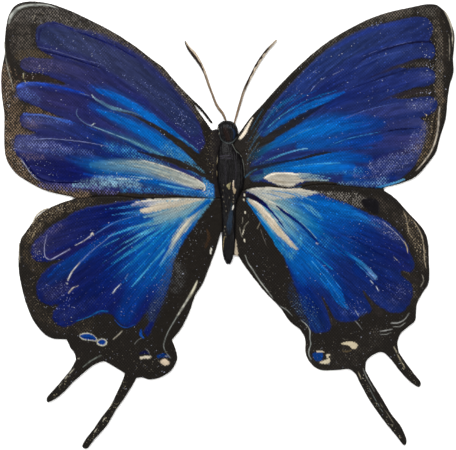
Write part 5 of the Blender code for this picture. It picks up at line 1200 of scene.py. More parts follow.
def rim_of(node):
    """The outline of a leaf's back, as places on the sheet in turn."""
    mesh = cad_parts[node].data
    mesh.calc_loop_triangles()
    spots = [tuple(round(c * 1e6) for c in v.co) for v in mesh.vertices]
    edges = set()
    for triangle in mesh.loop_triangles:
        corners = [spots[i] for i in triangle.vertices]
        if all(abs(corner[2]) < 5 for corner in corners):
            edges.update(zip(corners, corners[1:] + corners[:1]))
    following = {start: end for start, end in edges if (end, start) not in edges}
    turn = [min(following)]
    while following[turn[-1]] != turn[0]:
        turn.append(following[turn[-1]])
    return np.array([(x / 1000 + ORIGIN_X, ORIGIN_Y - y / 1000) for x, y, _ in turn])


def cut_edge(rim, seam, seed):
    """The same outline as the scissors left it, a little uneven, with a place every quarter of a millimetre.

    Beside the seam with the other wing it runs out to the middle of the seam.
    """
    places = []
    for a, b in zip(rim, np.roll(rim, -1, axis=0)):
        pieces = max(1, round(math.dist(a, b) / EDGE_STEP))
        places += [a + (b - a) * piece / pieces for piece in range(pieces)]
    places = np.array(places)
    x, y = places.T
    along = np.roll(places, -1, axis=0) - np.roll(places, 1, axis=0)
    inward = np.stack([-along[:, 1], along[:, 0]], axis=1)
    inward /= np.hypot(inward[:, 0], inward[:, 1])[:, None]
    inward *= np.sign(np.sum(x * np.roll(y, -1) - y * np.roll(x, -1)))
    cut = 0.04 + 0.10 * grain(x / 1.7, y / 1.7, seed) + 0.05 * grain(x / 0.45, y / 0.45, seed + 1)
    beyond = np.abs(beside(x, y, seam, closed=True)[0])
    share = eased(1.6, 0.6, beyond)
    return places + inward * (cut * (1 - share) - share * (beyond / 2 + SEAM_LAP))[:, None]


def filled(places, loops, inside):
    """Triangles between loops of places, where the middle of each passes a test."""
    edges = [pair for loop in loops for pair in loop]
    spots, _, faces, origins, _, _ = delaunay_2d_cdt([Vector(p) for p in places], edges, [], 0, 1e-7, True)
    middles = np.array([np.mean([spots[i] for i in face], axis=0) for face in faces])
    wanted = inside(middles[:, 0], middles[:, 1])
    return [[origins[i][0] for i in face] for face, keep in zip(faces, wanted) if keep]


def ring_of(start, count):
    return [(start + i, start + (i + 1) % count) for i in range(count)]


class Leaf:
    """A wing's leaf: its places on the sheet, its paint and its mesh."""

    def __init__(self, node, beside_it, pattern, seed):
        self.rim = rim_of(node)
        self.edge = cut_edge(self.rim, rim_of(beside_it), seed)
        self.grid()
        self.face = Face(self.x, self.y, seed)
        pattern(self.face)
        self.raise_paint()

    def grid(self):
        """Places on every thread and crossing, away from the cut edge."""
        low, high = self.rim.min(0), self.rim.max(0)
        self.first = (math.floor(low[0] / STEP_X), math.floor(low[1] / STEP_Y))
        columns = np.arange(self.first[0], math.ceil(high[0] / STEP_X) + 1)
        lines = np.arange(self.first[1], math.ceil(high[1] / STEP_Y) + 1)
        across, down = np.meshgrid(columns * STEP_X, lines * STEP_Y, indexing="ij")
        x, y, shape = across.ravel(), down.ravel(), across.shape
        inset = np.abs(beside(x, y, self.rim, closed=True)[0])
        kept = (enclosed(x, y, self.rim) & (inset > EDGE_GAP)).reshape(shape)
        self.cells = kept[:-1, :-1] & kept[1:, :-1] & kept[:-1, 1:] & kept[1:, 1:]
        used = np.zeros(shape, bool)
        for i in (0, 1):
            for j in (0, 1):
                used[i : shape[0] - 1 + i, j : shape[1] - 1 + j] |= self.cells
        self.inner = int(used.sum())
        self.number = np.full(shape, -1)
        self.number[used] = np.arange(self.inner)
        self.x = np.concatenate([across[used], self.edge[:, 0]])
        self.y = np.concatenate([down[used], self.edge[:, 1]])
        self.inset = np.concatenate([inset.reshape(shape)[used], np.zeros(len(self.edge))])

    def raise_paint(self):
        """Works out how high each place stands."""
        face = self.face
        relief = WEAVE_RELIEF * face.lift * (1 - 0.7 * face.wet)
        share = np.clip(1 - self.inset / EDGE_ROUND, 0, 1)
        fall = EDGE_DROP * (1 - np.sqrt(1 - share**2))
        self.top = LEAF + np.clip(face.height, *PAINT_HEIGHTS) + relief - fall
        rooted = (self.x > POCKET_SIDES[0]) & (self.x < POCKET_SIDES[1])
        self.top[rooted] = np.minimum(self.top[rooted], POCKET_ROOF)
        self.levels = np.full(self.number.shape, LEAF)
        self.levels[self.number >= 0] = self.top[: self.inner]

    def level(self, x, y):
        """Height of the painted face over the nearest thread."""
        i = np.clip(np.round(x / STEP_X).astype(int) - self.first[0], 0, self.number.shape[0] - 1)
        j = np.clip(np.round(y / STEP_Y).astype(int) - self.first[1], 0, self.number.shape[1] - 1)
        return self.levels[i, j]

    def quads(self):
        i, j = np.nonzero(self.cells)
        corners = [self.number[i, j], self.number[i, j + 1], self.number[i + 1, j + 1], self.number[i + 1, j]]
        return np.stack(corners, axis=1).tolist()

    def border(self):
        """The stepped border of the grid, as pairs of places."""
        sides = {}
        for quad in self.quads():
            for pair in zip(quad, quad[1:] + quad[:1]):
                key = (min(pair), max(pair))
                sides[key] = sides.get(key, 0) + 1
        return sorted(pair for pair, count in sides.items() if count == 1)

    def between(self, x, y):
        """Which places lie between the grid and the cut edge."""
        i = np.floor(x / STEP_X).astype(int) - self.first[0]
        j = np.floor(y / STEP_Y).astype(int) - self.first[1]
        on_grid = self.cells[i.clip(0, self.cells.shape[0] - 1), j.clip(0, self.cells.shape[1] - 1)]
        return enclosed(x, y, self.edge) & ~on_grid

    def band(self):
        """Triangles between the grid and the cut edge."""
        border = self.border()
        corners = sorted({i for pair in border for i in pair})
        count = len(self.edge)
        order = corners + list(range(self.inner, self.inner + count))
        place = {number: k for k, number in enumerate(order)}
        places = np.stack([self.x[order], self.y[order]], axis=1)
        loops = [[(place[a], place[b]) for a, b in border], ring_of(len(corners), count)]
        return [[order[k] for k in face] for face in filled(places, loops, self.between)]

    def build(self, name, material):
        """The closed mesh: painted face, cut edge and bare back."""
        count, top = len(self.edge), len(self.x)
        rings = [self.inner] + [top + wall * count for wall in range(len(WALLS))]
        x = np.concatenate([self.x] + [self.edge[:, 0]] * len(WALLS))
        y = np.concatenate([self.y] + [self.edge[:, 1]] * len(WALLS))
        z = np.concatenate([self.top] + [self.top[self.inner :] * share for share, _ in WALLS])
        bare = np.concatenate([np.zeros(top)] + [np.full(count, bareness) for _, bareness in WALLS])
        faces = self.quads() + self.band()
        for upper, lower in zip(rings, rings[1:]):
            for i, k in ring_of(0, count):
                faces.append([upper + i, upper + k, lower + k, lower + i])
        back = filled(self.edge, [ring_of(0, count)], lambda u, v: enclosed(u, v, self.edge))
        faces += [[rings[-1] + i for i in face] for face in back]
        mesh = bpy.data.meshes.new(name)
        mesh.from_pydata(on_row(x, y, z).tolist(), [], faces)
        face_out(mesh)
        coats = (self.face.crest, self.face.gap)
        walled = [np.concatenate([coat] + [coat[self.inner :]] * len(WALLS)) for coat in coats]
        hold_paint(mesh, *walled, np.concatenate([self.face.wet, np.zeros(count * len(WALLS))]), bare)
        mesh.shade_smooth()
        return piece(name, mesh, material)


def face_out(mesh):
    """Turns a closed mesh's faces outwards."""
    shape = bmesh.new()
    shape.from_mesh(mesh)
    bmesh.ops.recalc_face_normals(shape, faces=shape.faces)
    shape.to_mesh(mesh)
    shape.free()


def hold(mesh, name, values):
    """Keeps a value or a colour for each point of a mesh."""
    values = np.asarray(values, float)
    if values.ndim == 1:
        mesh.attributes.new(name, "FLOAT", "POINT").data.foreach_set("value", values)
        return
    opaque = np.concatenate([values, np.ones((len(values), 1))], axis=1)
    mesh.attributes.new(name, "FLOAT_COLOR", "POINT").data.foreach_set("color", opaque.ravel())


def hold_paint(mesh, crest, gap, wet, bare):
    """Keeps what the canvas finish reads."""
    hold(mesh, "crest", crest)
    hold(mesh, "gap", gap)
    hold(mesh, "wet", wet)
    hold(mesh, "bare", bare)


def placed(name, data):
    """A new object in the scene."""
    made = bpy.data.objects.new(name, data)
    bpy.context.scene.collection.objects.link(made)
    return made


def in_material(mesh, material):
    mesh.materials.clear()
    mesh.materials.append(material)
    return mesh


def piece(name, mesh, material):
    return placed(name, in_material(mesh, material))


def made_plain(holder, material):
    """Turns an object and its modifier into a plain mesh of one material."""
    graph = bpy.context.evaluated_depsgraph_get()
    graph.update()
    ready = holder.evaluated_get(graph)
    mesh = bpy.data.meshes.new_from_object(ready, preserve_all_data_layers=True, depsgraph=graph)
    holder.modifiers.clear()
    holder.data = in_material(mesh, material)
    mesh.name = holder.name
    return mesh


class Nodes:
    """A tree of nodes, made in turn."""

    def fill(self, socket, value):
        """Sets a socket, or links another to it."""
        if isinstance(value, bpy.types.NodeSocket):
            self.tree.links.new(value, socket)
        else:
            socket.default_value = value

    def add(self, kind, inputs=None, **settings):
        node = self.tree.nodes.new(kind)
        for key, value in settings.items():
            setattr(node, key, value)
        for key, value in (inputs or {}).items():
            self.fill(node.inputs[key], value)
        return node


# Raised lines and flecks of paint, by Geometry Nodes


class Growth(Nodes):
    """A Geometry Nodes tree with named sizes."""

    def __init__(self, name):
        self.tree = bpy.data.node_groups.new(name, "GeometryNodeTree")
        for way in ("INPUT", "OUTPUT"):
            self.tree.interface.new_socket("Geometry", in_out=way, socket_type="NodeSocketGeometry")
        self.start = self.tree.nodes.new("NodeGroupInput")
        self.end = self.tree.nodes.new("NodeGroupOutput")
        self.inputs = {}

    def size(self, name, kind, value):
        """A named input, with the value that it starts from."""
        socket = self.tree.interface.new_socket(name, in_out="INPUT", socket_type=kind)
        socket.default_value = value
        self.inputs[name] = socket.identifier
        return self.start.outputs[name]

    def named(self, name):
        """A value that each point of the base holds."""
        node = self.add("GeometryNodeInputNamedAttribute", {"Name": name}, data_type="FLOAT")
        return node.outputs["Attribute"]

    def finish(self, geometry, material):
        realized = self.add("GeometryNodeRealizeInstances", {"Geometry": geometry})
        painted = self.add("GeometryNodeSetMaterial", {"Geometry": realized.outputs[0], "Material": material})
        self.tree.links.new(painted.outputs["Geometry"], self.end.inputs["Geometry"])


def grown(name, base, growth, material, **sizes):
    """The piece that a tree grows from a base mesh."""
    holder = placed(name, base)
    modifier = holder.modifiers.new("growth", "NODES")
    modifier.node_group = growth.tree
    for key, value in sizes.items():
        modifier[growth.inputs[key]] = value
    made_plain(holder, material).shade_smooth()
    return holder


def bead_growth(material):
    """Beads of paint along lines that hold their width."""
    growth = Growth("bead_of_paint")
    sides = growth.size("sides", "NodeSocketInt", 8)
    plump = growth.size("plump", "NodeSocketFloat", 0.6)
    lines = growth.add("GeometryNodeMeshToCurve", {"Mesh": growth.start.outputs["Geometry"]})
    level = growth.add("GeometryNodeSetCurveNormal", {"Curve": lines.outputs["Curve"]}, mode="Z_UP")
    round_size = {"Resolution": sides, "Radius": 1.0}
    circle = growth.add("GeometryNodeCurvePrimitiveCircle", round_size, mode="RADIUS")
    tall = growth.add("ShaderNodeCombineXYZ", {"X": 1.0, "Y": plump, "Z": 1.0})
    squeeze = {"Geometry": circle.outputs["Curve"], "Scale": tall.outputs["Vector"]}
    flat = growth.add("GeometryNodeTransform", squeeze)
    profile = {"Profile Curve": flat.outputs["Geometry"], "Scale": growth.named("half"), "Fill Caps": True}
    swept = growth.add("GeometryNodeCurveToMesh", {"Curve": level.outputs["Curve"], **profile})
    growth.finish(swept.outputs["Mesh"], material)
    return growth


def fleck_growth(material):
    """Small flattened flecks, crumbs of paint and painted glints, on points that hold their size and turn."""
    growth = Growth("fleck_of_paint_and_glint")
    flatness = growth.size("flatness", "NodeSocketFloat", 0.35)
    dab = growth.add("GeometryNodeMeshIcoSphere", {"Radius": 1.0, "Subdivisions": 1})
    size = growth.named("size")
    wide = growth.add("ShaderNodeMath", {0: size, 1: growth.named("long")}, operation="MULTIPLY")
    low = growth.add("ShaderNodeMath", {0: size, 1: flatness}, operation="MULTIPLY")
    scale = growth.add("ShaderNodeCombineXYZ", {"X": wide.outputs[0], "Y": size, "Z": low.outputs[0]})
    turn = growth.add("ShaderNodeCombineXYZ", {"X": 0.0, "Y": 0.0, "Z": growth.named("turn")})
    turned = growth.add("FunctionNodeEulerToRotation", {"Euler": turn.outputs["Vector"]})
    stance = {"Rotation": turned.outputs["Rotation"], "Scale": scale.outputs["Vector"]}
    spots = {"Points": growth.start.outputs["Geometry"], "Instance": dab.outputs["Mesh"]}
    flecks = growth.add("GeometryNodeInstanceOnPoints", {**spots, **stance})
    growth.finish(flecks.outputs["Instances"], material)
    return growth


BEAD_SHARE = 0.6  # of a line's width that stands up as a bead
BEAD_STEP = 0.45
THINNEST_BEAD = 0.05  # half the width below which the brush ran dry


def bead_mesh(name, leaf):
    """The middle lines of a leaf's raised lines, broken where the brush ran dry."""
    places, edges, halves, tints = [], [], [], []
    for number, (points, paint, dry) in enumerate(leaf.face.lines):
        line = smooth(points, BEAD_STEP)
        run = np.concatenate([[0], np.cumsum(np.hypot(*np.diff(line[:, :2], axis=0).T))])
        share = run / run[-1]
        full = grain(run / 1.6, np.full(len(run), float(number)), leaf.face.seed + 500)
        bare = dry[0] + (dry[1] - dry[0]) * share
        tapered = np.clip(np.minimum(share, 1 - share) * 14, 0.15, 1)
        thick = np.clip((full + 0.25 - bare) / 0.3, 0, 1) * tapered
        wobble = 0.8 + 0.4 * grain(run / 0.9, np.full(len(run), number + 0.5), leaf.face.seed + 501)
        half = BEAD_SHARE * line[:, 2] / 2 * thick * wobble
        spots = on_row(line[:, 0], line[:, 1], leaf.level(line[:, 0], line[:, 1]) + 0.12 * half)
        drawn = half > THINNEST_BEAD
        for i in np.flatnonzero(drawn):
            if i and drawn[i - 1]:
                edges.append((len(places) - 1, len(places)))
            places.append(spots[i])
            halves.append(half[i] * MM)
            tints.append(linear(paint) * (0.45 + 0.6 * full[i]))
    mesh = bpy.data.meshes.new(name)
    mesh.from_pydata(places, edges, [])
    hold(mesh, "half", halves)
    hold_paint(mesh, tints, tints, np.ones(len(places)), np.zeros(len(places)))
    return mesh


FLECKS_PER_CM2 = 20
# The pale colour that the glint flecks go toward: painted glints
FLECK_GLINT = (190, 194, 214)
FLECK_SIZES = (0.10, 0.30)  # half the width of a fleck
PALE = 0.2  # paint as light as this shows no flecks
BARE_GROUND = 0.03  # paint as dark as this shows the most
PALER_ON_GROUND, PALER_ON_PAINT = 6.0, 10.0  # the higher, the fewer of the flecks are pale; the pale ones are painted glints
FLECK_SHIFT = 0.13  # off the thread that each is on
FLECK_SEED = 900


def fleck_mesh(name, leaf, seed):
    """Places for flecks over a leaf, crumbs of dried paint and painted glints, each a paler or darker tone of
    what lies under it.
    """

    def clear_of_body(x):
        return (x < POCKET_SIDES[0]) | (x > POCKET_SIDES[1])

    chance = np.random.default_rng(seed)
    area = leaf.inner * STEP_X * STEP_Y / 100
    picked = np.sort(chance.choice(leaf.inner, int(area * FLECKS_PER_CM2), replace=False))
    size = FLECK_SIZES[0] + (FLECK_SIZES[1] - FLECK_SIZES[0]) * chance.random(len(picked)) ** 3
    shift = chance.uniform(-FLECK_SHIFT, FLECK_SHIFT, (len(picked), 2))
    x, y = leaf.x[picked] + shift[:, 0], leaf.y[picked] + shift[:, 1]
    under = leaf.face.crest[picked]
    lightest = under.max(axis=1)
    kept = clear_of_body(x) & (lightest < PALE)
    paler = chance.random(len(picked)) ** np.where(lightest < BARE_GROUND, PALER_ON_GROUND, PALER_ON_PAINT)
    # Each fleck is lighter than the paint under it, and the pale ones go toward the glint colour: painted
    # glints
    tint = under * 1.3 + (linear(FLECK_GLINT) - under) * (0.9 * paler)[:, None]
    crumbs = np.array(leaf.face.crumbs).reshape(-1, 6)
    crumbs = crumbs[enclosed(crumbs[:, 0], crumbs[:, 1], leaf.rim) & clear_of_body(crumbs[:, 0])]
    x, y = np.concatenate([x[kept], crumbs[:, 0]]), np.concatenate([y[kept], crumbs[:, 1]])
    size, tint = np.concatenate([size[kept], crumbs[:, 2]]), np.concatenate([tint[kept], crumbs[:, 3:]])
    mesh = bpy.data.meshes.new(name)
    mesh.from_pydata(on_row(x, y, leaf.level(x, y) + 0.1 * size).tolist(), [], [])
    hold(mesh, "size", size * MM)
    hold(mesh, "long", 1 + 1.2 * chance.random(len(x)))
    hold(mesh, "turn", chance.uniform(0, math.pi, len(x)))
    hold_paint(mesh, tint, tint, np.ones(len(x)), np.zeros(len(x)))
    return mesh


# Finishes


class Finish(Nodes):
    """A material's nodes."""

    def __init__(self, name):
        self.material = bpy.data.materials.new(name)
        self.material.use_nodes = True
        self.tree = self.material.node_tree
        self.shader = self.tree.nodes["Principled BSDF"]
        self.places = self.add("ShaderNodeTexCoord").outputs["Object"]

    def maths(self, operation, a, b=0.0):
        return self.add("ShaderNodeMath", {0: a, 1: b}, operation=operation).outputs[0]

    def noise(self, millimetres, detail=3.0):
        """Soft noise with patches of a size."""
        sizes = {"Vector": self.places, "Scale": 1 / (millimetres * MM), "Detail": detail}
        return self.add("ShaderNodeTexNoise", sizes).outputs["Fac"]

    def ranged(self, value, low, high, start, end, **settings):
        """A value from one range to another."""
        inputs = {"Value": value, "From Min": low, "From Max": high, "To Min": start, "To Max": end}
        return self.add("ShaderNodeMapRange", inputs, **settings).outputs["Result"]

    def uneven(self, millimetres, detail, start, end):
        """Noise from one value to another, with few places at either end."""
        return self.ranged(self.noise(millimetres, detail), 0.3, 0.7, start, end)

    def blend(self, share, a, b):
        return self.add("ShaderNodeMix", {0: share, 6: a, 7: b}, data_type="RGBA").outputs[2]

    def scaled(self, colour, tone):
        return self.add("ShaderNodeVectorMath", {0: colour, 3: tone}, operation="SCALE").outputs["Vector"]

    def threads(self):
        """The canvas weave, from 0 in the gaps to 1 on the crossings."""
        split = self.add("ShaderNodeSeparateXYZ", {0: self.places})
        across = self.maths("MULTIPLY", split.outputs["X"], math.pi / (WARP * MM))
        down = self.maths("MULTIPLY", split.outputs["Y"], math.pi / (WEFT * MM))
        waves = self.maths("MULTIPLY", self.maths("SINE", across), self.maths("SINE", down))
        return self.ranged(waves, -1.0, 1.0, 0.0, 1.0)

    def red_of(self, colour):
        return self.add("ShaderNodeSeparateColor", {0: colour}).outputs["Red"]

    def held(self, name, output="Fac"):
        """What each point of the piece holds under a name."""
        return self.add("ShaderNodeAttribute", attribute_name=name, attribute_type="GEOMETRY").outputs[output]

    def bump(self, height, millimetres, strength=1.0, under=None):
        inputs = {"Height": height, "Distance": millimetres * MM, "Strength": strength}
        if under is not None:
            inputs["Normal"] = under
        return self.add("ShaderNodeBump", inputs).outputs["Normal"]

    def set(self, **values):
        for name, value in values.items():
            self.fill(self.shader.inputs[name.replace("_", " ")], value)


SPECK_GAP = 1.5  # mm between the specks that catch the light
SPECK_GAIN = 1.6  # how much brighter they are, on dark paint
# The bare canvas's threads, and a darker colour for the gaps between them that is painted shade
CANVAS_THREAD = (*linear((226, 214, 190)), 1.0)
CANVAS_GAP_SHADE = (*linear((176, 160, 132)), 1.0)


def painted_canvas(name):
    """Acrylic paint over the weave on the face, bare canvas on the back and the cut edge."""
    finish = Finish(name)
    bare = finish.held("bare")
    wet = finish.held("wet")
    weave = finish.threads()
    slubs = finish.noise(2.4, 2.0)
    wavering = finish.maths("ADD", weave, finish.uneven(4.0, 1.0, -0.02, 0.02))
    thread = finish.ranged(wavering, 0.46, 0.54, 0.0, 1.0, interpolation_type="SMOOTHSTEP")
    # Bare canvas: the threads' own colour, with painted shade in the gaps
    cloth = finish.blend(thread, CANVAS_GAP_SHADE, CANVAS_THREAD)
    # Paint: the thread colour with its painted highlight and the gap colour with its painted shade, mixed by
    # the weave
    paint = finish.blend(thread, finish.held("gap", "Color"), finish.held("crest", "Color"))
    spacing = {"Vector": finish.places, "Scale": 1 / (SPECK_GAP * MM), "Randomness": 1.0}
    specks = finish.add("ShaderNodeTexVoronoi", spacing)
    near = finish.ranged(specks.outputs["Distance"], 0.14, 0.30, 1.0, 0.0)
    few = finish.maths("POWER", finish.red_of(specks.outputs["Color"]), 3.0)
    bright = finish.maths("MULTIPLY", near, few)
    gain = finish.ranged(finish.red_of(paint), 0.01, 0.1, SPECK_GAIN, 0.0)
    tone = finish.maths("ADD", finish.uneven(2.2, 3.0, 0.9, 1.1), finish.maths("MULTIPLY", bright, gain))
    colour = finish.blend(bare, finish.scaled(paint, tone), cloth)
    gloss = finish.uneven(0.7, 3.0, -0.05, 0.06)
    rough = finish.maths("ADD", gloss, finish.ranged(wet, 0.0, 1.0, 0.44, 0.28))
    rough = finish.maths("MAXIMUM", rough, finish.maths("MULTIPLY", bare, 0.85))
    marks = finish.bump(finish.noise(0.35, 4.0), 0.05, 0.2)
    woven = finish.bump(finish.maths("MULTIPLY", weave, bare), 0.18, 1.0, marks)
    cloudy = finish.bump(slubs, 0.10, 0.6, woven)
    finish.set(Base_Color=colour, Roughness=rough, Normal=cloudy, Specular_IOR_Level=0.04)
    return finish.material


def brushed_black(name, rough):
    """Thick dark paint with brush marks."""
    finish = Finish(name)
    colour = finish.scaled(finish.held("paint", "Color"), finish.uneven(0.8, 4.0, 0.8, 1.25))
    gloss = finish.uneven(0.6, 3.0, rough - 0.08, rough + 0.1)
    marks = finish.bump(finish.noise(0.3, 4.0), 0.07, 0.9)
    finish.set(Base_Color=colour, Roughness=gloss, Normal=marks, Specular_IOR_Level=0.08)
    return finish.material


# Body and feelers

BODY_SKIN, FEELER_SKIN = 0.25, 0.14  # mm between the places of each skin
BODY_PAINT_FROM = 1.9  # the body's paint stands up above this height
FEELER_PAINT_FROM = -1.0  # and the feelers' everywhere


def skin(node, name, spacing, material):
    """A copy of a CAD node with an even skin of small faces."""
    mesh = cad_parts[node].data.copy()
    mesh.name = name
    shape = bmesh.new()
    shape.from_mesh(mesh)
    bmesh.ops.remove_doubles(shape, verts=shape.verts, dist=1e-6)
    shape.to_mesh(mesh)
    shape.free()
    holder = placed(name, mesh)
    even = holder.modifiers.new("even", "REMESH")
    even.mode = "VOXEL"
    even.voxel_size = spacing * MM
    even.use_smooth_shade = True
    made = made_plain(holder, material)
    for attribute in [a.name for a in made.attributes if not a.is_required and not a.is_internal]:
        made.attributes.remove(made.attributes[attribute])
    return holder


def paint_skin(part, pattern, seed, paint_from):
    """Paints a skin from above and raises its brush marks where it faces up, above a height."""
    mesh = part.data
    count = len(mesh.vertices)
    places, normals = np.empty(count * 3), np.empty(count * 3)
    mesh.vertices.foreach_get("co", places)
    mesh.vertex_normals.foreach_get("vector", normals)
    places, normals = places.reshape(-1, 3), normals.reshape(-1, 3)
    face = Face(places[:, 0] / MM + ORIGIN_X, ORIGIN_Y - places[:, 1] / MM, seed)
    pattern(face)
    raised = eased(0.1, 0.7, normals[:, 2]) * MM * (places[:, 2] > paint_from * MM)
    places[:, 2] += np.clip(face.height, -0.3, 0.6) * raised
    mesh.vertices.foreach_set("co", places.ravel())
    hold(mesh, "paint", face.crest)
    mesh.shade_smooth()
    mesh.update()


def paint_body(face):
    seed = face.next_seed()
    marks = grain(face.x / 0.5, face.y / 2.6, seed) + 0.6 * grain(face.x / 0.28, face.y / 0.9, seed + 1)
    face.height += 0.22 * (marks - 0.8)
    face.calm[:] = 1
    face.crest[:] = linear((26, 25, 26)) * (0.6 + 0.5 * marks)[:, None]
    face.wet[:] = 1
    # Head, with a blue-grey painted sheen on its right
    face.stroke([(112.4, 64.6, 3), (113.4, 67.4, 4), (114, 69.6, 3)], (36, 26, 24), dry=(0.3, 0.3),
        soft=0.8, rise=0.15, streak=0.3)
    face.stroke([(114, 63.2, 0.8), (116.2, 64.6, 1.6), (117.3, 66.6, 2.2), (116.8, 69.2, 1.6)],
        (30, 40, 54), (28, 44, 66), (24, 36, 54), dry=(0.35, 0.3), soft=0.8, streak=0.4, rise=0.1)
    face.stroke([(113, 62.4, 0.6), (115.2, 63.6, 0.8), (116.6, 65.4, 0.6)], (52, 56, 62), dry=(0.4, 0.4),
        soft=0.8)
    face.stroke([(109.5, 65.4, 0.4), (110, 68.7, 0.6), (111.6, 70.9, 0.7), (114.6, 71.8, 0.7),
        (117.1, 70.5, 0.6), (118.7, 68.4, 0.4)], (70, 76, 76), dry=(0.25, 0.3), rise=0.2, streak=0.4)
    face.stroke([(114.8, 60.8, 0.4), (117.4, 62.6, 0.5), (118.6, 65.4, 0.4)], (58, 58, 56), dry=(0.3, 0.4))
    # Faint bands and sheen
    for y in (78.3, 79.4):
        face.stroke([(110, y, 0.4), (113, y - 0.3, 0.6), (116.2, y - 0.1, 0.4)], (52, 48, 58),
            dry=(0.3, 0.4), soft=0.6)
    for points in (
        [(112.8, 75, 1.2), (112.6, 84, 1.8), (113.2, 92, 1.4)],
        [(117.2, 76, 1), (118, 84, 1.4), (117.6, 91, 1.2)],
    ):
        face.stroke(points, (36, 34, 38), dry=(0.4, 0.5), soft=0.8, streak=0.5, rise=0.1)
    face.stroke([(115.8, 101.6, 0.8), (115.8, 105.4, 2), (115, 109.6, 3.2), (114.6, 113.4, 3.4),
        (114.6, 116.6, 1.8)], (30, 42, 46), (34, 44, 56), (36, 50, 66), (32, 46, 62), (28, 34, 44),
        dry=(0.15, 0.2), soft=0.5, streak=0.3, rise=0.12)
    # Pale lines along both sides: painted highlights
    face.stroke([(116.2, 72.2, 0.4), (118.2, 75.8, 0.5), (120.4, 77.2, 0.6)], (90, 92, 86), dry=(0.3, 0.1),
        rise=0.12, streak=0.4)
    face.stroke([(120.3, 77, 0.7), (120.9, 78.2, 0.7)], (190, 188, 176), dry=(0, 0.2))
    face.stroke([(121, 78.4, 0.5), (121.8, 82, 0.6), (122.2, 85.4, 0.5), (122.1, 88, 0.4)], (112, 114, 108),
        dry=(0.1, 0.4), rise=0.1, streak=0.4)
    face.stroke([(108.7, 75.2, 0.3), (108.5, 78.4, 0.5), (108.4, 80.4, 0.8), (108.3, 82, 0.5)],
        (120, 104, 70), (190, 172, 132), (226, 214, 184), (180, 160, 110), dry=(0.4, 0.2), even=1)
    face.stroke([(108.3, 85.8, 0.6), (108.2, 87, 0.7), (108.4, 88, 0.4)], (206, 188, 150), (150, 130, 90),
        dry=(0.1, 0.3))
    # Scraped spots, down to the canvas
    face.stroke([(115.2, 91.7, 0.8), (114.2, 93, 2), (114.6, 94.5, 0.8)], (120, 112, 80), (150, 142, 104),
        (136, 126, 92), dry=(0.05, 0.1), rise=0.15, streak=0.25)
    face.stroke([(116.7, 90.4, 0.5), (116.6, 92.2, 0.8), (116.8, 94, 0.6)], (226, 214, 196),
        (206, 184, 160), (190, 166, 140), dry=(0.05, 0.1), rise=0.15, streak=0.2)
    face.stroke([(116.6, 94, 1), (117.2, 95.2, 1.9), (117.2, 96.6, 1)], (176, 158, 132), (160, 142, 112),
        dry=(0.05, 0.15), rise=0.15, streak=0.25)
    face.stroke([(116.8, 102.8, 0.6), (116.5, 103.8, 1), (116.3, 104.8, 0.5)], (200, 196, 186),
        (228, 224, 214), dry=(0.05, 0.1), rise=0.15)
    # Specks
    for x, y in ((109.2, 63.2), (109.3, 64.3), (108.6, 66), (108.9, 67.4), (109.6, 66.6)):
        face.stroke([(x, y, 0.5), (x - 0.1, y + 0.5, 0.4)], (140, 136, 122))
    for x, y in (
        (116.6, 97.6), (116.7, 99.4), (116.5, 100.8), (111.8, 92.4), (111.5, 95), (111.3, 98.2),
        (111.9, 100.6), (112.8, 103), (113, 105.4), (114.6, 98.6), (118.8, 101.2), (118.6, 105.4),
        (112.4, 113.2), (112.1, 115.2), (112.6, 116.6), (112.9, 118.2),
    ):
        face.stroke([(x, y, 0.4), (x + 0.1, y + 0.5, 0.3)], (120, 112, 94))
    face.stroke([(112.2, 118.4, 0.4), (111.8, 120.6, 0.6), (111.5, 122.8, 0.6), (111.6, 124.8, 0.4)],
        (150, 132, 92), dry=(0.3, 0.3))


LEFT_FEELER = [
    (113.9, 62.7), (113, 60.4), (111.1, 56.3), (109.2, 54), (107.8, 51.5), (106.3, 47.5), (104.4, 42.5),
    (102, 35.5), (99.5, 30.8), (96.6, 26.6), (94.3, 24), (92.5, 20.5),
]
RIGHT_FEELER = [
    (116.7, 63.3), (117.3, 61), (118.4, 57.2), (120.2, 51), (122.1, 45), (125.4, 38.2), (129.2, 31.2),
    (133.7, 24.8), (136.4, 22), (138.4, 19.8),
]
UMBER, BEIGE = (150, 126, 102), (206, 188, 164)  # the feeler at its foot, and further out
FEELER_DARK = (46, 36, 29)


def feeler_pattern(line, start, end, middle):
    """A dark line that wanders along soft beige, from one share of the feeler's length to another."""

    def pattern(face):
        seed = face.next_seed()
        offset, run, _, length = beside(face.x, face.y, smooth(line, 1.0))
        along = run / length
        marks = grain(run / 1.1, offset / 0.3, seed) - 0.5
        wander = grain(run / 2.2, run * 0, seed + 1) - 0.5
        lighter = eased(start - 0.2, start + 0.1, along)[:, None]
        ground = linear(UMBER) + (linear(BEIGE) - linear(UMBER)) * lighter
        face.calm[:] = 1
        face.crest[:] = ground * (0.9 + 0.5 * marks)[:, None]
        face.gap[:] = face.crest
        drawn = eased(start - 0.1, start + 0.06, along) * eased(end + 0.05, end - 0.05, along)
        dark = eased(-0.12, 0.12, middle - offset + 0.9 * wander + 0.5 * marks) * (0.35 + 0.65 * drawn)
        face.coat(np.arange(len(offset)), linear(FEELER_DARK) * (1 + 0.6 * marks)[:, None], dark, dark)
        face.height += 0.12 * marks

    return pattern


# Camera, light and floor

VIEW_CENTRE = (-0.0005, -0.0175)  # of the photograph, on the row's frame
VIEW_WIDTH = 0.228
LENS, SENSOR = 100.0, 36.0
LAMPS = (
    ("window", (-0.15, 0.62, 0.85), (0.7, 0.4), 12.4),
    ("left", (-0.62, 0.05, 0.85), (0.4, 0.6), 4.2),
    ("right", (0.62, -0.05, 0.85), (0.4, 0.6), 4.2),
    ("foot", (0.05, -0.65, 0.85), (0.7, 0.4), 4.2),
)
FLOOR_REACH, FLOOR_LEVEL = 2.0, -0.0002


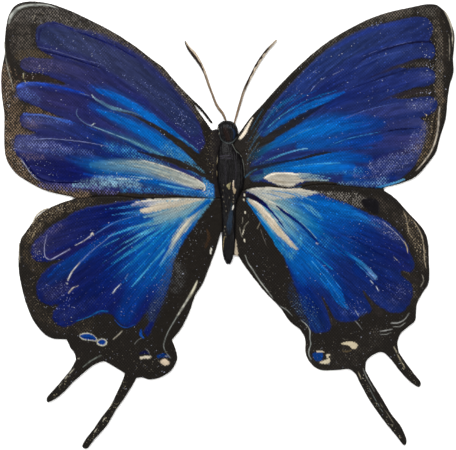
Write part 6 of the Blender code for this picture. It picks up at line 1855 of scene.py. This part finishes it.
def camera():
    data = bpy.data.cameras.new("camera")
    data.lens, data.sensor_width, data.sensor_fit = LENS, SENSOR, "HORIZONTAL"
    data.clip_start, data.clip_end = 0.01, 10.0
    made = placed("camera", data)
    made.location = (*VIEW_CENTRE, VIEW_WIDTH * LENS / SENSOR + LEAF * MM)
    bpy.context.scene.camera = made


def lamp(name, place, size, power):
    data = bpy.data.lights.new(name, "AREA")
    data.shape, data.size, data.size_y, data.energy = "RECTANGLE", *size, power
    made = placed(name, data)
    made.location = place
    aim = Vector((*VIEW_CENTRE, 0.0)) - Vector(place)
    made.rotation_euler = aim.to_track_quat("-Z", "Y").to_euler()


def studio():
    """Plain soft light from above the head and from both sides, over a white floor."""
    world = bpy.data.worlds.new("studio")
    world.use_nodes = True
    sky = world.node_tree.nodes["Background"]
    sky.inputs["Color"].default_value = (0.95, 0.98, 1.0, 1.0)
    sky.inputs["Strength"].default_value = 0.06
    bpy.context.scene.world = world
    bpy.context.scene.view_settings.view_transform = "Standard"
    for name, place, size, power in LAMPS:
        lamp(name, place, size, power)
    mesh = bpy.data.meshes.new("floor")
    signs = [(-1, -1), (1, -1), (1, 1), (-1, 1)]
    corners = [(x * FLOOR_REACH, y * FLOOR_REACH, FLOOR_LEVEL) for x, y in signs]
    mesh.from_pydata(corners, [], [(0, 1, 2, 3)])
    finish = Finish("floor_card")
    finish.set(Base_Color=(0.92, 0.92, 0.92, 1.0), Roughness=0.9, Specular_IOR_Level=0.1)
    piece("floor", mesh, finish.material)


# The butterfly


def dress(part, node=None):
    """Gives a piece its body, and hides the CAD node that it stands for, where it stands for one."""
    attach(part, "root")
    if node:
        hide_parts(node)


def wing(node, beside_it, pattern, seed, paint):
    """A wing's leaf, its raised lines and its flecks."""
    leaf = Leaf(node, beside_it, pattern, seed)
    dress(leaf.build(f"{node}_leaf", paint), node)
    beads = bead_mesh(f"{node}_beads", leaf)
    dress(grown(f"{node}_lines", beads, bead_growth(paint), paint, sides=8, plump=0.6))
    spots = fleck_mesh(f"{node}_spots", leaf, seed + FLECK_SEED)
    dress(grown(f"{node}_flecks", spots, fleck_growth(paint), paint, flatness=0.4))


def butterfly():
    paint, slot = painted_canvas("forewing_paint"), "forewing_paint"
    wing("left_forewing", "left_hindwing", paint_left_forewing, 1000, paint)
    wing("right_forewing", "right_hindwing", paint_right_forewing, 2000, paint)
    paint, slot = painted_canvas("hindwing_paint"), "hindwing_paint"
    wing("left_hindwing", "left_forewing", paint_left_hindwing, 3000, paint)
    wing("right_hindwing", "right_forewing", paint_right_hindwing, 4000, paint)
    black, brown = brushed_black("body_paint", 0.36), brushed_black("feeler_paint", 0.6)
    body = skin("body", "body_skin", BODY_SKIN, black)
    paint_skin(body, paint_body, 5000, BODY_PAINT_FROM)
    dress(body, "body")
    for node, line, drawn, seed in (
        ("left_antenna", LEFT_FEELER, (0.60, 1.10, 0.22), 6000),
        ("right_antenna", RIGHT_FEELER, (0.40, 0.90, 0.12), 7000),
    ):
        feeler = skin(node, f"{node}_skin", FEELER_SKIN, brown)
        paint_skin(feeler, feeler_pattern(line, *drawn), seed, FEELER_PAINT_FROM)
        dress(feeler, node)


camera()
studio()
butterfly()
